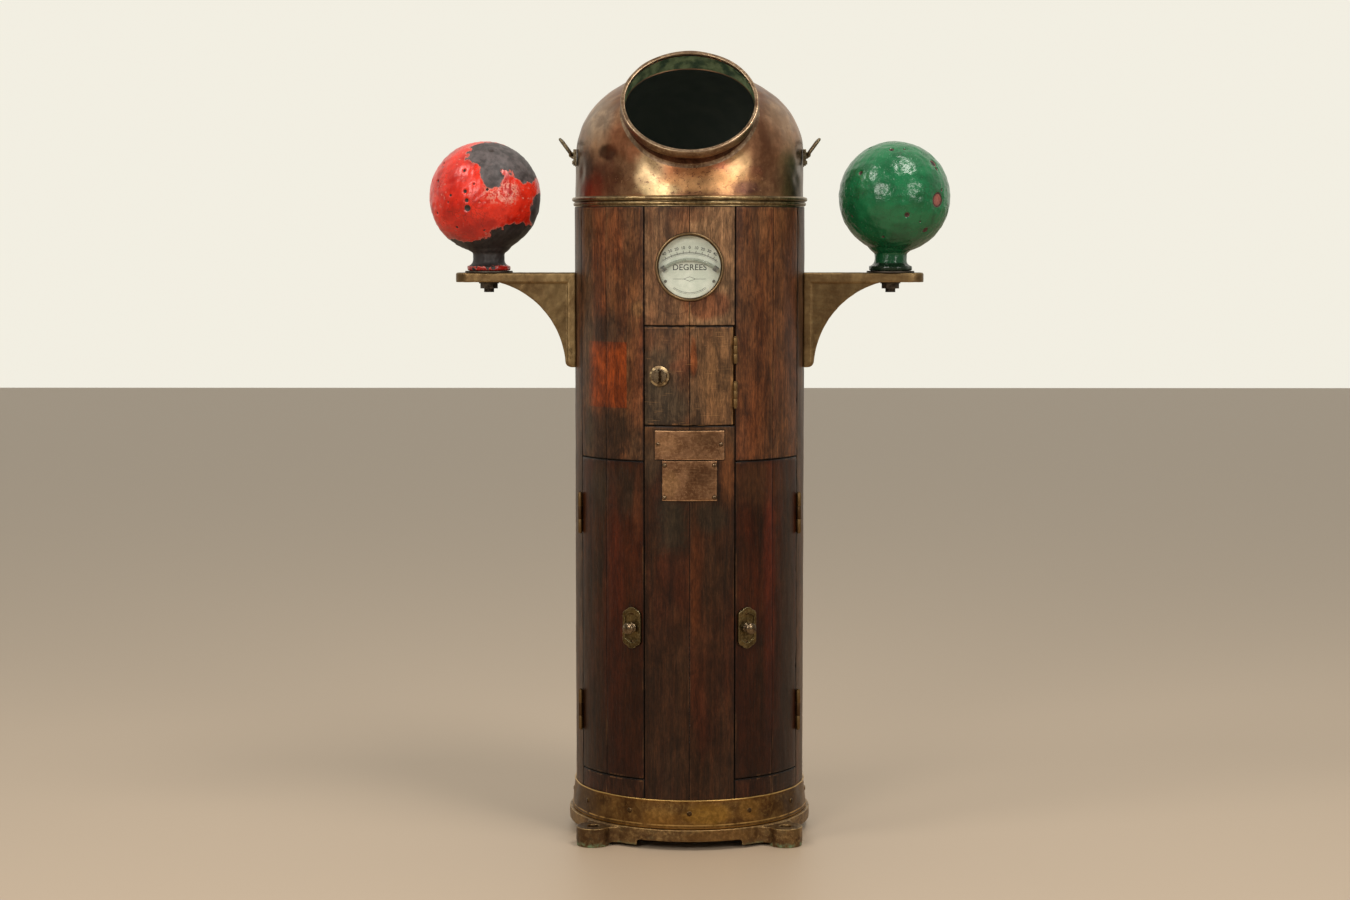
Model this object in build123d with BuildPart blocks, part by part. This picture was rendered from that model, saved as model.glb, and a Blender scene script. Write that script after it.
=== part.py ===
from build123d import *
import os
from math import asin, cos, degrees, radians, sin, sqrt

os.makedirs("parts", exist_ok=True)

# A ship's standing binnacle. Millimetres, +Z up, origin on the deck at the column's axis.
# The helmsman stands on the -Y side. Angles round the column are measured from that front,
# positive towards +X, the helmsman's right.

# ---- wooden column: sixteen staves, turned round -------------------------------------------
column_r = 183.5
stave_thickness = 28.0
column_bore_r = column_r - stave_thickness
stave_angle = 22.5
glue_gap = 0.2
wood_bottom = 32.6
wood_top = 997.0
door_edge = stave_angle                # the centre panels and small door reach this far each side
door_hinge_edge = 3 * stave_angle      # the lower doors hinge here
batten_r = column_bore_r - 8.0

# ---- heights of the doors and panels -------------------------------------------------------
sill_top = 106.8
lower_door_bottom = 107.8
lower_door_top = 604.4
upper_panel_bottom = 605.2
small_door_bottom = 660.8
small_door_top = 813.2
door_gap = 0.8
small_door_hinge_gap = 3.2

# ---- foot, base band and deck fixing -------------------------------------------------------
foot_r = 194.3
foot_bottom = 5.0
foot_top = 32.4
foot_wall = 8.3
lug_r = 26.7
lug_pad_r = 26.1                       # machined pads under the lugs
lug_top = 30.0
lug_fillet = 16.0
deck_bolt_pcd = 426.0
deck_bolt_hole_r = 9.0
arch_width = 164.0
arch_top = 14.0
band_top = 77.5
band_top_r = 185.6
band_bottom_r = 189.5
band_screw_count = 12
band_screw_z = 57.0
screw_head_r = 3.6
screw_shank_r = 2.0

# ---- brass ring on top of the column -------------------------------------------------------
ring_top = 1005.2
ring_bore_r = 150.0
ring_bead_r = 3.0
ring_bead_outer_r = 185.5
ring_bead_z = 1001.6
spigot_outer_r = 178.5
spigot_top = 1018.0
ring_screw_circle_r = 168.0
ring_screw_count = 8
ring_screw_depth = 34.0

# ---- copper hood and its window ------------------------------------------------------------
hood_r = 182.0
hood_sheet = 2.0
hood_bottom = 1005.3
dome_base = 1081.6
dome_height = 136.6
rim_bead_r = 3.3
rim_bead_outer_r = 187.7
rim_bead_z = 1009.0
rim_band_top = 1013.0
window_tilt = 40.0                     # the window's axis rises this much above level
window_y = -139.0
window_z = 1159.0
neck_r = 103.0
neck_bore_r = 101.0
neck_seat = 8.0                        # from the window's face in to the end of the neck
neck_length = 80.0
bezel_r = 106.6
bezel_lip_r = 99.6
bezel_length = 15.0
window_glass_r = 102.2

# ---- hood handles --------------------------------------------------------------------------
handle_pivot_x = 187.0
handle_pivot_z = 1079.0
handle_rise_angle = 54.0
handle_length = 30.0
handle_half_width = 38.0
handle_wire_r = 2.4
handle_end_y = 24.0
handle_eye_y = 30.0
handle_eye_width = 6.0
handle_plate_x = 184.0

# ---- quadrantal sphere brackets ------------------------------------------------------------
bracket_end_x = 373.0
bracket_top = 893.3
bracket_plate = 15.3
bracket_half_depth = 35.0
bracket_corner_r = 24.0
bracket_bottom = 743.0
saddle_x = 193.0
web_thickness = 9.0
web_y = 29.0
web_arc_r = 141.6
web_outer_x = 304.0
web_foot_x = 198.0
web_toe_r = 10.0
slot_half_width = 8.5
slot_inner_x = 290.0
slot_outer_x = 343.0
bracket_bolt_y = 13.0
bracket_bolt_heights = (780.0, 855.0)
bracket_bolt_r = 5.0

# ---- quadrantal spheres --------------------------------------------------------------------
sphere_r = 89.0
sphere_x = 326.5
sphere_z = 1013.0
sphere_stem_x = 321.0
stem_r = 26.0
stem_flange_r = 35.0
stem_flange_top = 908.0
washer_thickness = 2.7
stud_r = 8.0

# ---- door furniture ------------------------------------------------------------------------
hinge_pin_r = 187.3                    # distance of every hinge pin from the column's axis
knuckle_r = 3.5
hinge_wire_r = 1.6
leaf_thickness = 1.2
leaf_width = 24.0
small_hinge_length = 38.0
small_hinge_heights = (708.0, 777.0)
lower_hinge_length = 62.0
lower_hinge_heights = (200.0, 515.0)
small_knob_angle = -14.4
small_knob_z = 737.0
catch_angle = 28.5
catch_z = 345.5
latch_outer_r = 149.5
latch_thickness = 4.0

# ---- clinometer in the top centre panel ----------------------------------------------------
clinometer_z = 904.0
clinometer_r = 52.5
clinometer_case_r = 50.0
clinometer_back_y = -160.5
clinometer_seat_y = -181.6
clinometer_front_y = -188.0
dial_r = 47.4
vial_arc_r = 65.0
vial_arc_z = 849.7
vial_y = -177.6
vial_r = 3.2
vial_bore_r = 2.6
vial_half_chord = 41.4

# ---- compass in its gimbals ----------------------------------------------------------------
gimbal_z = 1012.0
gimbal_r = 138.0
gimbal_bore_r = 130.0
gimbal_half_height = 8.0
pivot_r = 4.0
running_clearance = 0.05
bowl_r = 116.0
bowl_wall = 4.0
bowl_top = 1020.0
bowl_skirt_bottom = 985.0
bowl_bottom = 917.0
card_r = 100.0
card_z = 1008.0

# ---- boards, heeling tube and corrector magnets --------------------------------------------
board_r = 155.2
board_thickness = 18.0
floor_board_z = 80.0
shelf_board_z = 620.0
chamber_board_z = 816.0
chamber_board_thickness = 14.0
tube_r = 24.0
tube_bore_r = 21.0
tube_bottom = 330.0
magnet_r = 5.0


# ---- helpers -------------------------------------------------------------------------------
def outward(angle):
    """Level unit vector that points out of the column at an angle from the front."""
    return Vector(sin(radians(angle)), -cos(radians(angle)), 0)


def facing(angle, radius, height):
    """Plane standing at a radius and angle: its Z points outwards and its Y up."""
    across = (cos(radians(angle)), sin(radians(angle)), 0)
    origin = outward(angle) * radius + Vector(0, 0, height)
    return Plane(origin=origin, x_dir=across, z_dir=outward(angle))


def level(angle, radius, height):
    """Level plane at a radius and angle: its X points round the column, its Y inwards."""
    across = (cos(radians(angle)), sin(radians(angle)), 0)
    origin = outward(angle) * radius + Vector(0, 0, height)
    return Plane(origin=origin, x_dir=across, z_dir=(0, 0, 1))


def arc_angle(length, radius=column_r):
    """Angle that an arc of this length takes up on the column's face."""
    return degrees(length / radius)


def sector(inner_r, outer_r, start, end):
    """Draw the ring sector between two angles from the front in the open sketch."""
    with BuildLine() as outline:
        outside = CenterArc((0, 0), outer_r, start - 90, end - start)
        inside = CenterArc((0, 0), inner_r, start - 90, end - start)
        Line(outside @ 0, inside @ 0)
        Line(outside @ 1, inside @ 1)
    make_face(outline.edges())


def stave_run(start, count, bottom, top, start_gap=glue_gap / 2, end_gap=glue_gap / 2):
    """Add neighbouring staves, each a solid of its own, from a starting angle."""
    with BuildSketch(Plane.XY.offset(bottom)) as profile:
        for index in range(count):
            first_gap = start_gap if index == 0 else glue_gap / 2
            last_gap = end_gap if index == count - 1 else glue_gap / 2
            first = start + index * stave_angle + arc_angle(first_gap)
            last = start + (index + 1) * stave_angle - arc_angle(last_gap)
            sector(column_bore_r, column_r, first, last)
    extrude(profile.sketch, amount=top - bottom)


def batten(start, end, bottom, top):
    """Add a curved batten behind a door's staves."""
    with BuildSketch(Plane.XY.offset(bottom)) as profile:
        sector(batten_r, column_bore_r, start, end)
    extrude(profile.sketch, amount=top - bottom)


def radial_cylinder(angle, height, radius, inner, outer, mode=Mode.ADD):
    """Add or cut a cylinder along a level radius of the column."""
    with BuildSketch(facing(angle, inner, height)) as profile:
        Circle(radius)
    extrude(profile.sketch, amount=outer - inner, mode=mode)


def cut_band_screw_holes():
    """Cut the base band's screw holes in whatever wood they meet."""
    for index in range(band_screw_count):
        angle = index * 360 / band_screw_count
        radial_cylinder(angle, band_screw_z, screw_shank_r, 166, 190, Mode.SUBTRACT)


def cut_ring_screw_holes():
    """Cut the top ring's screw holes down into whatever wood they meet."""
    with BuildSketch(Plane.XY.offset(wood_top - ring_screw_depth)) as profile:
        with PolarLocations(ring_screw_circle_r, ring_screw_count, stave_angle / 2):
            Circle(screw_shank_r)
    extrude(profile.sketch, amount=ring_screw_depth + 1, mode=Mode.SUBTRACT)


def cut_bracket_bolt_holes():
    """Cut both brackets' bolt holes straight through the column's sides."""
    for height in bracket_bolt_heights:
        with BuildSketch(Plane.YZ.offset(-200)) as profile:
            with Locations((-bracket_bolt_y, height), (bracket_bolt_y, height)):
                Circle(bracket_bolt_r + 0.2)
        extrude(profile.sketch, amount=400, mode=Mode.SUBTRACT)


def cut_hinge_mortises(angle, heights, length):
    """Cut the shallow recess that takes a butt hinge's leaves in a wooden edge."""
    for height in heights:
        with BuildSketch(level(angle, hinge_pin_r, height - length / 2 - 0.3)) as profile:
            with Locations((0, leaf_width / 2)):
                Rectangle(2 * (leaf_thickness + 0.3), leaf_width + 1.6)
        extrude(profile.sketch, amount=length + 0.6, mode=Mode.SUBTRACT)


def hinge_leaf(angle, height, length, side, outer_knuckles):
    """Add one leaf of a butt hinge: side +1 is the leaf at the greater angle."""
    knuckle = length / 3
    near, far = 0.15, 0.15 + leaf_thickness
    plate_x = side * (near + far) / 2
    bottom = height - length / 2
    with BuildSketch(level(angle, hinge_pin_r, bottom)) as profile:
        with Locations((plate_x, (knuckle_r + 0.5 + leaf_width) / 2)):
            Rectangle(leaf_thickness, leaf_width - knuckle_r - 0.5)
    extrude(profile.sketch, amount=length)
    for index in range(3):
        if (index % 2 == 0) == outer_knuckles:
            lower = bottom + index * knuckle + (0.15 if index else 0)
            upper = bottom + (index + 1) * knuckle - (0.15 if index < 2 else 0)
            with BuildSketch(level(angle, hinge_pin_r, lower)) as profile:
                Circle(knuckle_r)
                with Locations((plate_x, knuckle_r)):
                    Rectangle(leaf_thickness, 2 * knuckle_r)
            extrude(profile.sketch, amount=upper - lower)
    bore = hinge_wire_r + (0.02 if outer_knuckles else running_clearance)
    with BuildSketch(level(angle, hinge_pin_r, bottom)) as profile:
        Circle(bore)
    extrude(profile.sketch, amount=length, mode=Mode.SUBTRACT)


def hinge_pin(angle, height, length):
    """Add one hinge pin with a small domed head at each end."""
    bottom = height - length / 2
    with BuildSketch(level(angle, hinge_pin_r, bottom - 1.5)) as profile:
        Circle(hinge_wire_r)
    extrude(profile.sketch, amount=length + 3)
    for head in (bottom - 1.9, bottom + length + 0.1):
        with BuildSketch(level(angle, hinge_pin_r, head)) as profile:
            Circle(hinge_wire_r + 0.9)
        extrude(profile.sketch, amount=1.8)


def catch_plate_outline():
    """Draw the cast catch plate's outline: round lobes, hollow shoulders, pointed ears."""
    half_width = 15.6
    ear = 21.5
    lobe_half = 8.0
    lobe_top = 32.0
    with BuildLine() as outline:
        side = Line((half_width, 0), (half_width, ear))
        shoulder = RadiusArc(side @ 1, (lobe_half, ear + 6.5), -9)
        ThreePointArc(shoulder @ 1, (lobe_half * 0.8, lobe_top - 2.0), (0, lobe_top))
        mirror(about=Plane.YZ)
        mirror(about=Plane.XZ)
    make_face(outline.edges())


def turn_latch(angle, height, latch_length, neck_outer_r):
    """Add a latch's spindle and the cam behind the door, with the cam pointing up."""
    radial_cylinder(angle, height, 3.0, latch_outer_r - latch_thickness, neck_outer_r)
    with BuildSketch(facing(angle, latch_outer_r - latch_thickness, height)) as profile:
        with Locations((0, latch_length / 2 - 3)):
            SlotOverall(latch_length, 9.0, rotation=90)
    extrude(profile.sketch, amount=latch_thickness)


# ---- foot casting --------------------------------------------------------------------------
lug_circle_r = deck_bolt_pcd / 2
lug_plane = Plane.XY.rotated((0, 0, 45))        # its X points at the first lug

with BuildPart() as foot_casting:
    with BuildSketch(lug_plane.offset(foot_bottom)) as foot_outline:
        Circle(foot_r)
        with PolarLocations(lug_circle_r, 4):
            Circle(lug_r)
        fillet(foot_outline.vertices(), radius=lug_fillet)
    extrude(amount=lug_top - foot_bottom)
    with BuildSketch(lug_plane.offset(lug_top)):
        Circle(foot_r)
    extrude(amount=foot_top - lug_top)
    with BuildSketch(lug_plane):
        with PolarLocations(lug_circle_r, 4):
            Circle(lug_pad_r)
    extrude(amount=foot_bottom)
    with BuildSketch(lug_plane.offset(foot_bottom)):
        Circle(foot_r - foot_wall)
    extrude(amount=lug_top - 6 - foot_bottom, mode=Mode.SUBTRACT)
    with BuildSketch(lug_plane):
        Circle(ring_bore_r)
    extrude(amount=foot_top, mode=Mode.SUBTRACT)
    for standing in (Plane.XZ, Plane.YZ):
        with BuildSketch(standing):
            with Locations((0, arch_top - 10)):
                RectangleRounded(arch_width, 20, 5)
        extrude(amount=foot_r + 5, both=True, mode=Mode.SUBTRACT)
    with BuildSketch(lug_plane.offset(foot_top)):
        Circle(board_r)
        Circle(ring_bore_r, mode=Mode.SUBTRACT)
    extrude(amount=16)
    with BuildSketch(lug_plane):
        with PolarLocations(lug_circle_r, 4):
            Circle(deck_bolt_hole_r)
    extrude(amount=foot_top, mode=Mode.SUBTRACT)
foot_casting.part.label = "foot_casting"
export_step(foot_casting.part, "parts/foot_casting.step")

# ---- base band and the column's screws -----------------------------------------------------
with BuildPart() as base_band:
    with BuildSketch(Plane.XZ):
        with BuildLine():
            Polyline((column_r + 0.1, foot_top + 0.1), (band_bottom_r, foot_top + 0.1),
                     (band_bottom_r - 0.4, foot_top + 6), (band_top_r, band_top - 3),
                     (band_top_r + 0.6, band_top - 1.5), (band_top_r, band_top),
                     (column_r + 0.1, band_top), close=True)
        make_face()
    revolve(axis=Axis.Z)
    for index in range(band_screw_count):
        screw_angle = index * 360 / band_screw_count
        radial_cylinder(screw_angle, band_screw_z, screw_shank_r, 180, 195, Mode.SUBTRACT)
        radial_cylinder(screw_angle, band_screw_z, screw_head_r, 186, 195, Mode.SUBTRACT)
base_band.part.label = "base_band"
export_step(base_band.part, "parts/base_band.step")

with BuildPart() as column_screws:
    for index in range(band_screw_count):
        screw_angle = index * 360 / band_screw_count
        radial_cylinder(screw_angle, band_screw_z, screw_shank_r - 0.05, 167, 187)
        radial_cylinder(screw_angle, band_screw_z, screw_head_r - 0.05, 186.05, 187.6)
    with BuildSketch(Plane.XY.offset(wood_top - ring_screw_depth + 1)):
        with PolarLocations(ring_screw_circle_r, ring_screw_count, stave_angle / 2):
            Circle(screw_shank_r - 0.05)
    extrude(amount=ring_top - wood_top + ring_screw_depth - 2)
    with BuildSketch(Plane.XY.offset(ring_top - 2.5)):
        with PolarLocations(ring_screw_circle_r, ring_screw_count, stave_angle / 2):
            Circle(screw_head_r - 0.05)
    extrude(amount=2.3)
column_screws.part.label = "column_screws"
export_step(column_screws.part, "parts/column_screws.step")

# ---- staves and panels ---------------------------------------------------------------------
with BuildPart() as back_staves:
    stave_run(door_hinge_edge, 10, wood_bottom, wood_top)
    cut_band_screw_holes()
    cut_ring_screw_holes()
    cut_bracket_bolt_holes()
    cut_hinge_mortises(door_hinge_edge, lower_hinge_heights, lower_hinge_length)
    cut_hinge_mortises(-door_hinge_edge, lower_hinge_heights, lower_hinge_length)
back_staves.part.label = "back_staves"
export_step(back_staves.part, "parts/back_staves.step")

with BuildPart() as upper_left_staves:
    stave_run(-door_hinge_edge, 2, upper_panel_bottom, wood_top)
    cut_ring_screw_holes()
upper_left_staves.part.label = "upper_left_staves"
export_step(upper_left_staves.part, "parts/upper_left_staves.step")

with BuildPart() as upper_right_staves:
    stave_run(door_edge, 2, upper_panel_bottom, wood_top)
    cut_ring_screw_holes()
upper_right_staves.part.label = "upper_right_staves"
export_step(upper_right_staves.part, "parts/upper_right_staves.step")

with BuildPart() as centre_top_staves:
    stave_run(-door_edge, 2, small_door_top + door_gap, wood_top)
    cut_ring_screw_holes()
    with BuildSketch(Plane.XZ.offset(-clinometer_back_y - 0.4)):
        with Locations((0, clinometer_z)):
            Circle(clinometer_case_r + 0.2)
    extrude(amount=40, mode=Mode.SUBTRACT)
    with BuildSketch(Plane.XZ.offset(-clinometer_seat_y)):
        with Locations((0, clinometer_z)):
            Circle(clinometer_r + 0.3)
    extrude(amount=20, mode=Mode.SUBTRACT)
centre_top_staves.part.label = "centre_top_staves"
export_step(centre_top_staves.part, "parts/centre_top_staves.step")

patch_edges = (54.2, 42.6)             # half widths of the upper and lower copper patches
patch_heights = ((608.5, 653.0), (545.0, 606.5))
patch_sheet = 1.2
patch_rivets_at = [(side * 49.0, 632.0) for side in (-1, 1)]
patch_rivets_at += [(side * 38.6, height) for side in (-1, 1) for height in (600.0, 550.0)]

with BuildPart() as centre_lower_staves:
    stave_run(-door_edge, 2, wood_bottom, small_door_bottom - door_gap)
    cut_band_screw_holes()
    for across, height in patch_rivets_at:
        radial_cylinder(arc_angle(across), height, 1.3, 172, 190, Mode.SUBTRACT)
centre_lower_staves.part.label = "centre_lower_staves"
export_step(centre_lower_staves.part, "parts/centre_lower_staves.step")

with BuildPart() as door_sills:
    for start in (-door_hinge_edge, door_edge):
        with BuildSketch(Plane.XY.offset(wood_bottom)):
            sector(column_bore_r, column_r, start + arc_angle(0.1), start + 45 - arc_angle(0.1))
        extrude(amount=sill_top - wood_bottom)
    cut_band_screw_holes()
door_sills.part.label = "door_sills"
export_step(door_sills.part, "parts/door_sills.step")

# ---- boards inside the column --------------------------------------------------------------
with BuildPart() as column_boards:
    with BuildSketch(Plane.XY.offset(floor_board_z)):
        Circle(board_r)
    extrude(amount=board_thickness)
    with BuildSketch(Plane.XY.offset(shelf_board_z)):
        Circle(board_r)
        Circle(tube_r + 0.3, mode=Mode.SUBTRACT)
    extrude(amount=board_thickness)
column_boards.part.label = "column_boards"
export_step(column_boards.part, "parts/column_boards.step")

with BuildPart() as chamber_board:
    with BuildSketch(Plane.XY.offset(chamber_board_z)):
        Circle(board_r)
        Circle(tube_r + 0.3, mode=Mode.SUBTRACT)
    extrude(amount=chamber_board_thickness)
chamber_board.part.label = "chamber_board"
export_step(chamber_board.part, "parts/chamber_board.step")

# ---- brass ring on top of the column -------------------------------------------------------
with BuildPart() as top_ring:
    with BuildSketch(Plane.XZ):
        with BuildLine():
            Polyline((ring_bore_r, wood_top + 0.1), (ring_bead_outer_r - ring_bead_r, wood_top + 0.1),
                     (ring_bead_outer_r - ring_bead_r, ring_top), (ring_bore_r, ring_top),
                     close=True)
        make_face()
        with Locations((ring_bead_outer_r - ring_bead_r, ring_bead_z)):
            Circle(ring_bead_r)
        with Locations((spigot_outer_r - 1.5, (ring_top + spigot_top) / 2)):
            Rectangle(3, spigot_top - ring_top)
    revolve(axis=Axis.Z)
    with BuildSketch(Plane.XY.offset(wood_top)):
        with PolarLocations(ring_screw_circle_r, ring_screw_count, stave_angle / 2):
            Circle(screw_shank_r)
    extrude(amount=ring_top - wood_top, mode=Mode.SUBTRACT)
    with BuildSketch(Plane.XY.offset(ring_top - 2.55)):
        with PolarLocations(ring_screw_circle_r, ring_screw_count, stave_angle / 2):
            Circle(screw_head_r)
    extrude(amount=5, mode=Mode.SUBTRACT)
top_ring.part.label = "top_ring"
export_step(top_ring.part, "parts/top_ring.step")

# ---- copper hood ---------------------------------------------------------------------------
window_axis_out = Vector(0, -cos(radians(window_tilt)), sin(radians(window_tilt)))
window_centre = Vector(0, window_y, window_z)
window_axis = Axis(window_centre, window_axis_out)
# Section plane of the window: X is the radius and Y runs outwards along the window's axis.
window_section = Plane(origin=window_centre, x_dir=(1, 0, 0),
                       z_dir=(0, -sin(radians(window_tilt)), -cos(radians(window_tilt))))
window_face = Plane(origin=window_centre, x_dir=(1, 0, 0), z_dir=window_axis_out)


def hood_outline(skin):
    """Half outline of the hood, this much outside its sheet, closed along the axis."""
    with BuildLine() as outline:
        skirt = Line((hood_r + skin, hood_bottom), (hood_r + skin, dome_base))
        dome = EllipticalCenterArc((0, dome_base), hood_r + skin, dome_height + skin,
                                   start_angle=0, arc_size=90)
        Polyline(dome @ 1, (0, hood_bottom), skirt @ 0)
    make_face(outline.edges())


with BuildPart() as hood_form:
    with BuildSketch(Plane.XZ):
        hood_outline(0.1)
    revolve(axis=Axis.Z)

with BuildPart() as hood_shell:
    with BuildSketch(Plane.XZ):
        hood_outline(0)
    revolve(axis=Axis.Z)
    with BuildSketch(Plane.XZ):
        hood_outline(-hood_sheet)
        with Locations((hood_r / 2, hood_bottom)):
            Rectangle(hood_r - 2 * hood_sheet, 4)
    revolve(axis=Axis.Z, mode=Mode.SUBTRACT)
    with BuildSketch(window_face.offset(-neck_length)):
        Circle(neck_bore_r)
    extrude(amount=2 * neck_length, mode=Mode.SUBTRACT)
hood_shell.part.label = "hood_shell"
export_step(hood_shell.part, "parts/hood_shell.step")

with BuildPart() as hood_rim:
    with BuildSketch(Plane.XZ):
        with Locations(((hood_r + rim_bead_outer_r - rim_bead_r + 0.1) / 2,
                        (hood_bottom + rim_band_top) / 2)):
            Rectangle(rim_bead_outer_r - rim_bead_r - hood_r - 0.1, rim_band_top - hood_bottom)
        with Locations((rim_bead_outer_r - rim_bead_r, rim_bead_z)):
            Circle(rim_bead_r)
        with Locations((hood_r / 2 + 0.05, rim_bead_z)):
            Rectangle(hood_r + 0.1, 20, mode=Mode.SUBTRACT)
    revolve(axis=Axis.Z)
hood_rim.part.label = "hood_rim"
export_step(hood_rim.part, "parts/hood_rim.step")

with BuildPart() as window_neck:
    with BuildSketch(window_face.offset(-neck_length)):
        Circle(neck_r)
        Circle(neck_bore_r, mode=Mode.SUBTRACT)
    extrude(amount=neck_length - neck_seat)
    add(hood_form.part, mode=Mode.SUBTRACT)
window_neck.part.label = "window_neck"
export_step(window_neck.part, "parts/window_neck.step")

with BuildPart() as window_bezel:
    with BuildSketch(window_section):
        with BuildLine():
            Polyline((neck_r + 0.1, -bezel_length), (bezel_r - 1.2, -bezel_length),
                     (bezel_r, -bezel_length + 1.5), (bezel_r, -2.0), (bezel_r - 2.0, 0),
                     (bezel_lip_r + 1.2, 0), (bezel_lip_r, -1.2), (bezel_lip_r, -3.0),
                     (window_glass_r + 0.1, -3.0), (window_glass_r + 0.1, -neck_seat + 0.1),
                     (neck_r + 0.1, -neck_seat + 0.1), close=True)
        make_face()
    revolve(axis=window_axis)
window_bezel.part.label = "window_bezel"
export_step(window_bezel.part, "parts/window_bezel.step")

with BuildPart() as window_glass:
    with BuildSketch(window_face.offset(-neck_seat + 0.2)):
        Circle(window_glass_r)
    extrude(amount=neck_seat - 3.3)
window_glass.part.label = "window_glass"
export_step(window_glass.part, "parts/window_glass.step")

# ---- hood handles and their eyes -----------------------------------------------------------
with BuildPart() as handle_eyes:
    for side in (-1, 1):
        for y in (-handle_eye_y, handle_eye_y):
            with BuildSketch(Plane.XZ.offset(-y)):
                with Locations((side * (handle_pivot_x - 5), handle_pivot_z)):
                    Rectangle(10, 9)
                with Locations((side * handle_pivot_x, handle_pivot_z)):
                    Circle(4.5)
            extrude(amount=handle_eye_width / 2, both=True)
            with BuildSketch(Plane.XZ.offset(-y)):
                with Locations((side * (handle_plate_x - 4), handle_pivot_z - 4)):
                    Rectangle(8, 26)
            extrude(amount=6, both=True)
            with BuildSketch(Plane.YZ.offset(side * handle_plate_x)):
                with Locations((y, handle_pivot_z - 12)):
                    Circle(3.2)
            extrude(amount=side * 2)
            with BuildSketch(Plane.XZ.offset(-y)):
                with Locations((side * handle_pivot_x, handle_pivot_z)):
                    Circle(handle_wire_r + running_clearance)
            extrude(amount=10, both=True, mode=Mode.SUBTRACT)
    add(hood_form.part, mode=Mode.SUBTRACT)
handle_eyes.part.label = "handle_eyes"
export_step(handle_eyes.part, "parts/handle_eyes.step")


def bail(side):
    """Add one wire bail, standing up and away from the hood."""
    rise = Vector(side * cos(radians(handle_rise_angle)), 0, sin(radians(handle_rise_angle)))
    pivot = Vector(side * handle_pivot_x, 0, handle_pivot_z)

    def at(y, along):
        return pivot + Vector(0, y, 0) + rise * along

    route = [at(-handle_end_y, 0), at(-handle_half_width, 0),
             at(-handle_half_width, handle_length), at(handle_half_width, handle_length),
             at(handle_half_width, 0), at(handle_end_y, 0)]
    with BuildLine() as centre_line:
        FilletPolyline(*route, radius=5.5)
    with BuildSketch(Plane(origin=route[0], x_dir=(1, 0, 0), z_dir=(0, -1, 0))) as wire:
        Circle(handle_wire_r)
    sweep(wire.sketch, path=centre_line.line)


with BuildPart() as left_handle:
    bail(-1)
left_handle.part.label = "left_handle"
export_step(left_handle.part, "parts/left_handle.step")

with BuildPart() as right_handle:
    bail(1)
right_handle.part.label = "right_handle"
export_step(right_handle.part, "parts/right_handle.step")

# ---- brackets for the quadrantal spheres ---------------------------------------------------
plate_bottom = bracket_top - bracket_plate
toe_top = bracket_bottom + web_toe_r
toe_inset = web_toe_r * (1 - sqrt(0.5))
toe_middle = (web_foot_x - toe_inset, bracket_bottom + toe_inset)

with BuildPart() as right_bracket:
    with BuildSketch(Plane.XY.offset(plate_bottom)) as plate_outline:
        with Locations((bracket_end_x / 2 + 80, 0)):
            Rectangle(bracket_end_x - 160, 2 * bracket_half_depth)
        fillet(plate_outline.vertices().group_by(Axis.X)[-1], radius=bracket_corner_r)
    extrude(amount=bracket_plate)
    fillet(right_bracket.edges().group_by(Axis.Z)[-1], radius=2.5)
    with BuildSketch(Plane.XZ) as saddle_outline:
        with Locations(((saddle_x + 160) / 2, (bracket_bottom + plate_bottom) / 2)):
            Rectangle(saddle_x - 160, plate_bottom - bracket_bottom)
        fillet(saddle_outline.vertices().group_by(Axis.Y)[0].sort_by(Axis.X)[-1], radius=10)
    extrude(amount=bracket_half_depth, both=True)
    for y in (-web_y, web_y):
        with BuildSketch(Plane.XZ.offset(-y)):
            with BuildLine():
                hollow = RadiusArc((web_outer_x, plate_bottom), (web_foot_x, toe_top), -web_arc_r)
                toe = ThreePointArc(hollow @ 1, toe_middle, (web_foot_x - web_toe_r, bracket_bottom))
                Polyline(toe @ 1, (saddle_x - 10, bracket_bottom), (saddle_x - 10, plate_bottom + 2),
                         (web_outer_x, plate_bottom + 2), hollow @ 0)
            make_face()
        extrude(amount=web_thickness / 2, both=True)
    with BuildSketch(Plane.XY.offset(bracket_bottom - 5)):
        Circle(column_r + 0.1)
    extrude(amount=bracket_top - bracket_bottom + 10, mode=Mode.SUBTRACT)
    with BuildSketch(Plane.XY.offset(plate_bottom - 1)):
        with Locations(((slot_inner_x + slot_outer_x) / 2, 0)):
            SlotCenterToCenter(slot_outer_x - slot_inner_x, 2 * slot_half_width)
    extrude(amount=bracket_plate + 2, mode=Mode.SUBTRACT)
    for height in bracket_bolt_heights:
        with BuildSketch(Plane.YZ.offset(170)):
            with Locations((-bracket_bolt_y, height), (bracket_bolt_y, height)):
                Circle(bracket_bolt_r + 0.2)
        extrude(amount=40, mode=Mode.SUBTRACT)
right_bracket.part.label = "right_bracket"
export_step(right_bracket.part, "parts/right_bracket.step")

with BuildPart() as left_bracket:
    mirror(right_bracket.part, about=Plane.YZ)
left_bracket.part.label = "left_bracket"
export_step(left_bracket.part, "parts/left_bracket.step")

nut_seat_x = sqrt(column_bore_r ** 2 - (bracket_bolt_y - 9) ** 2) + 0.1

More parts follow.
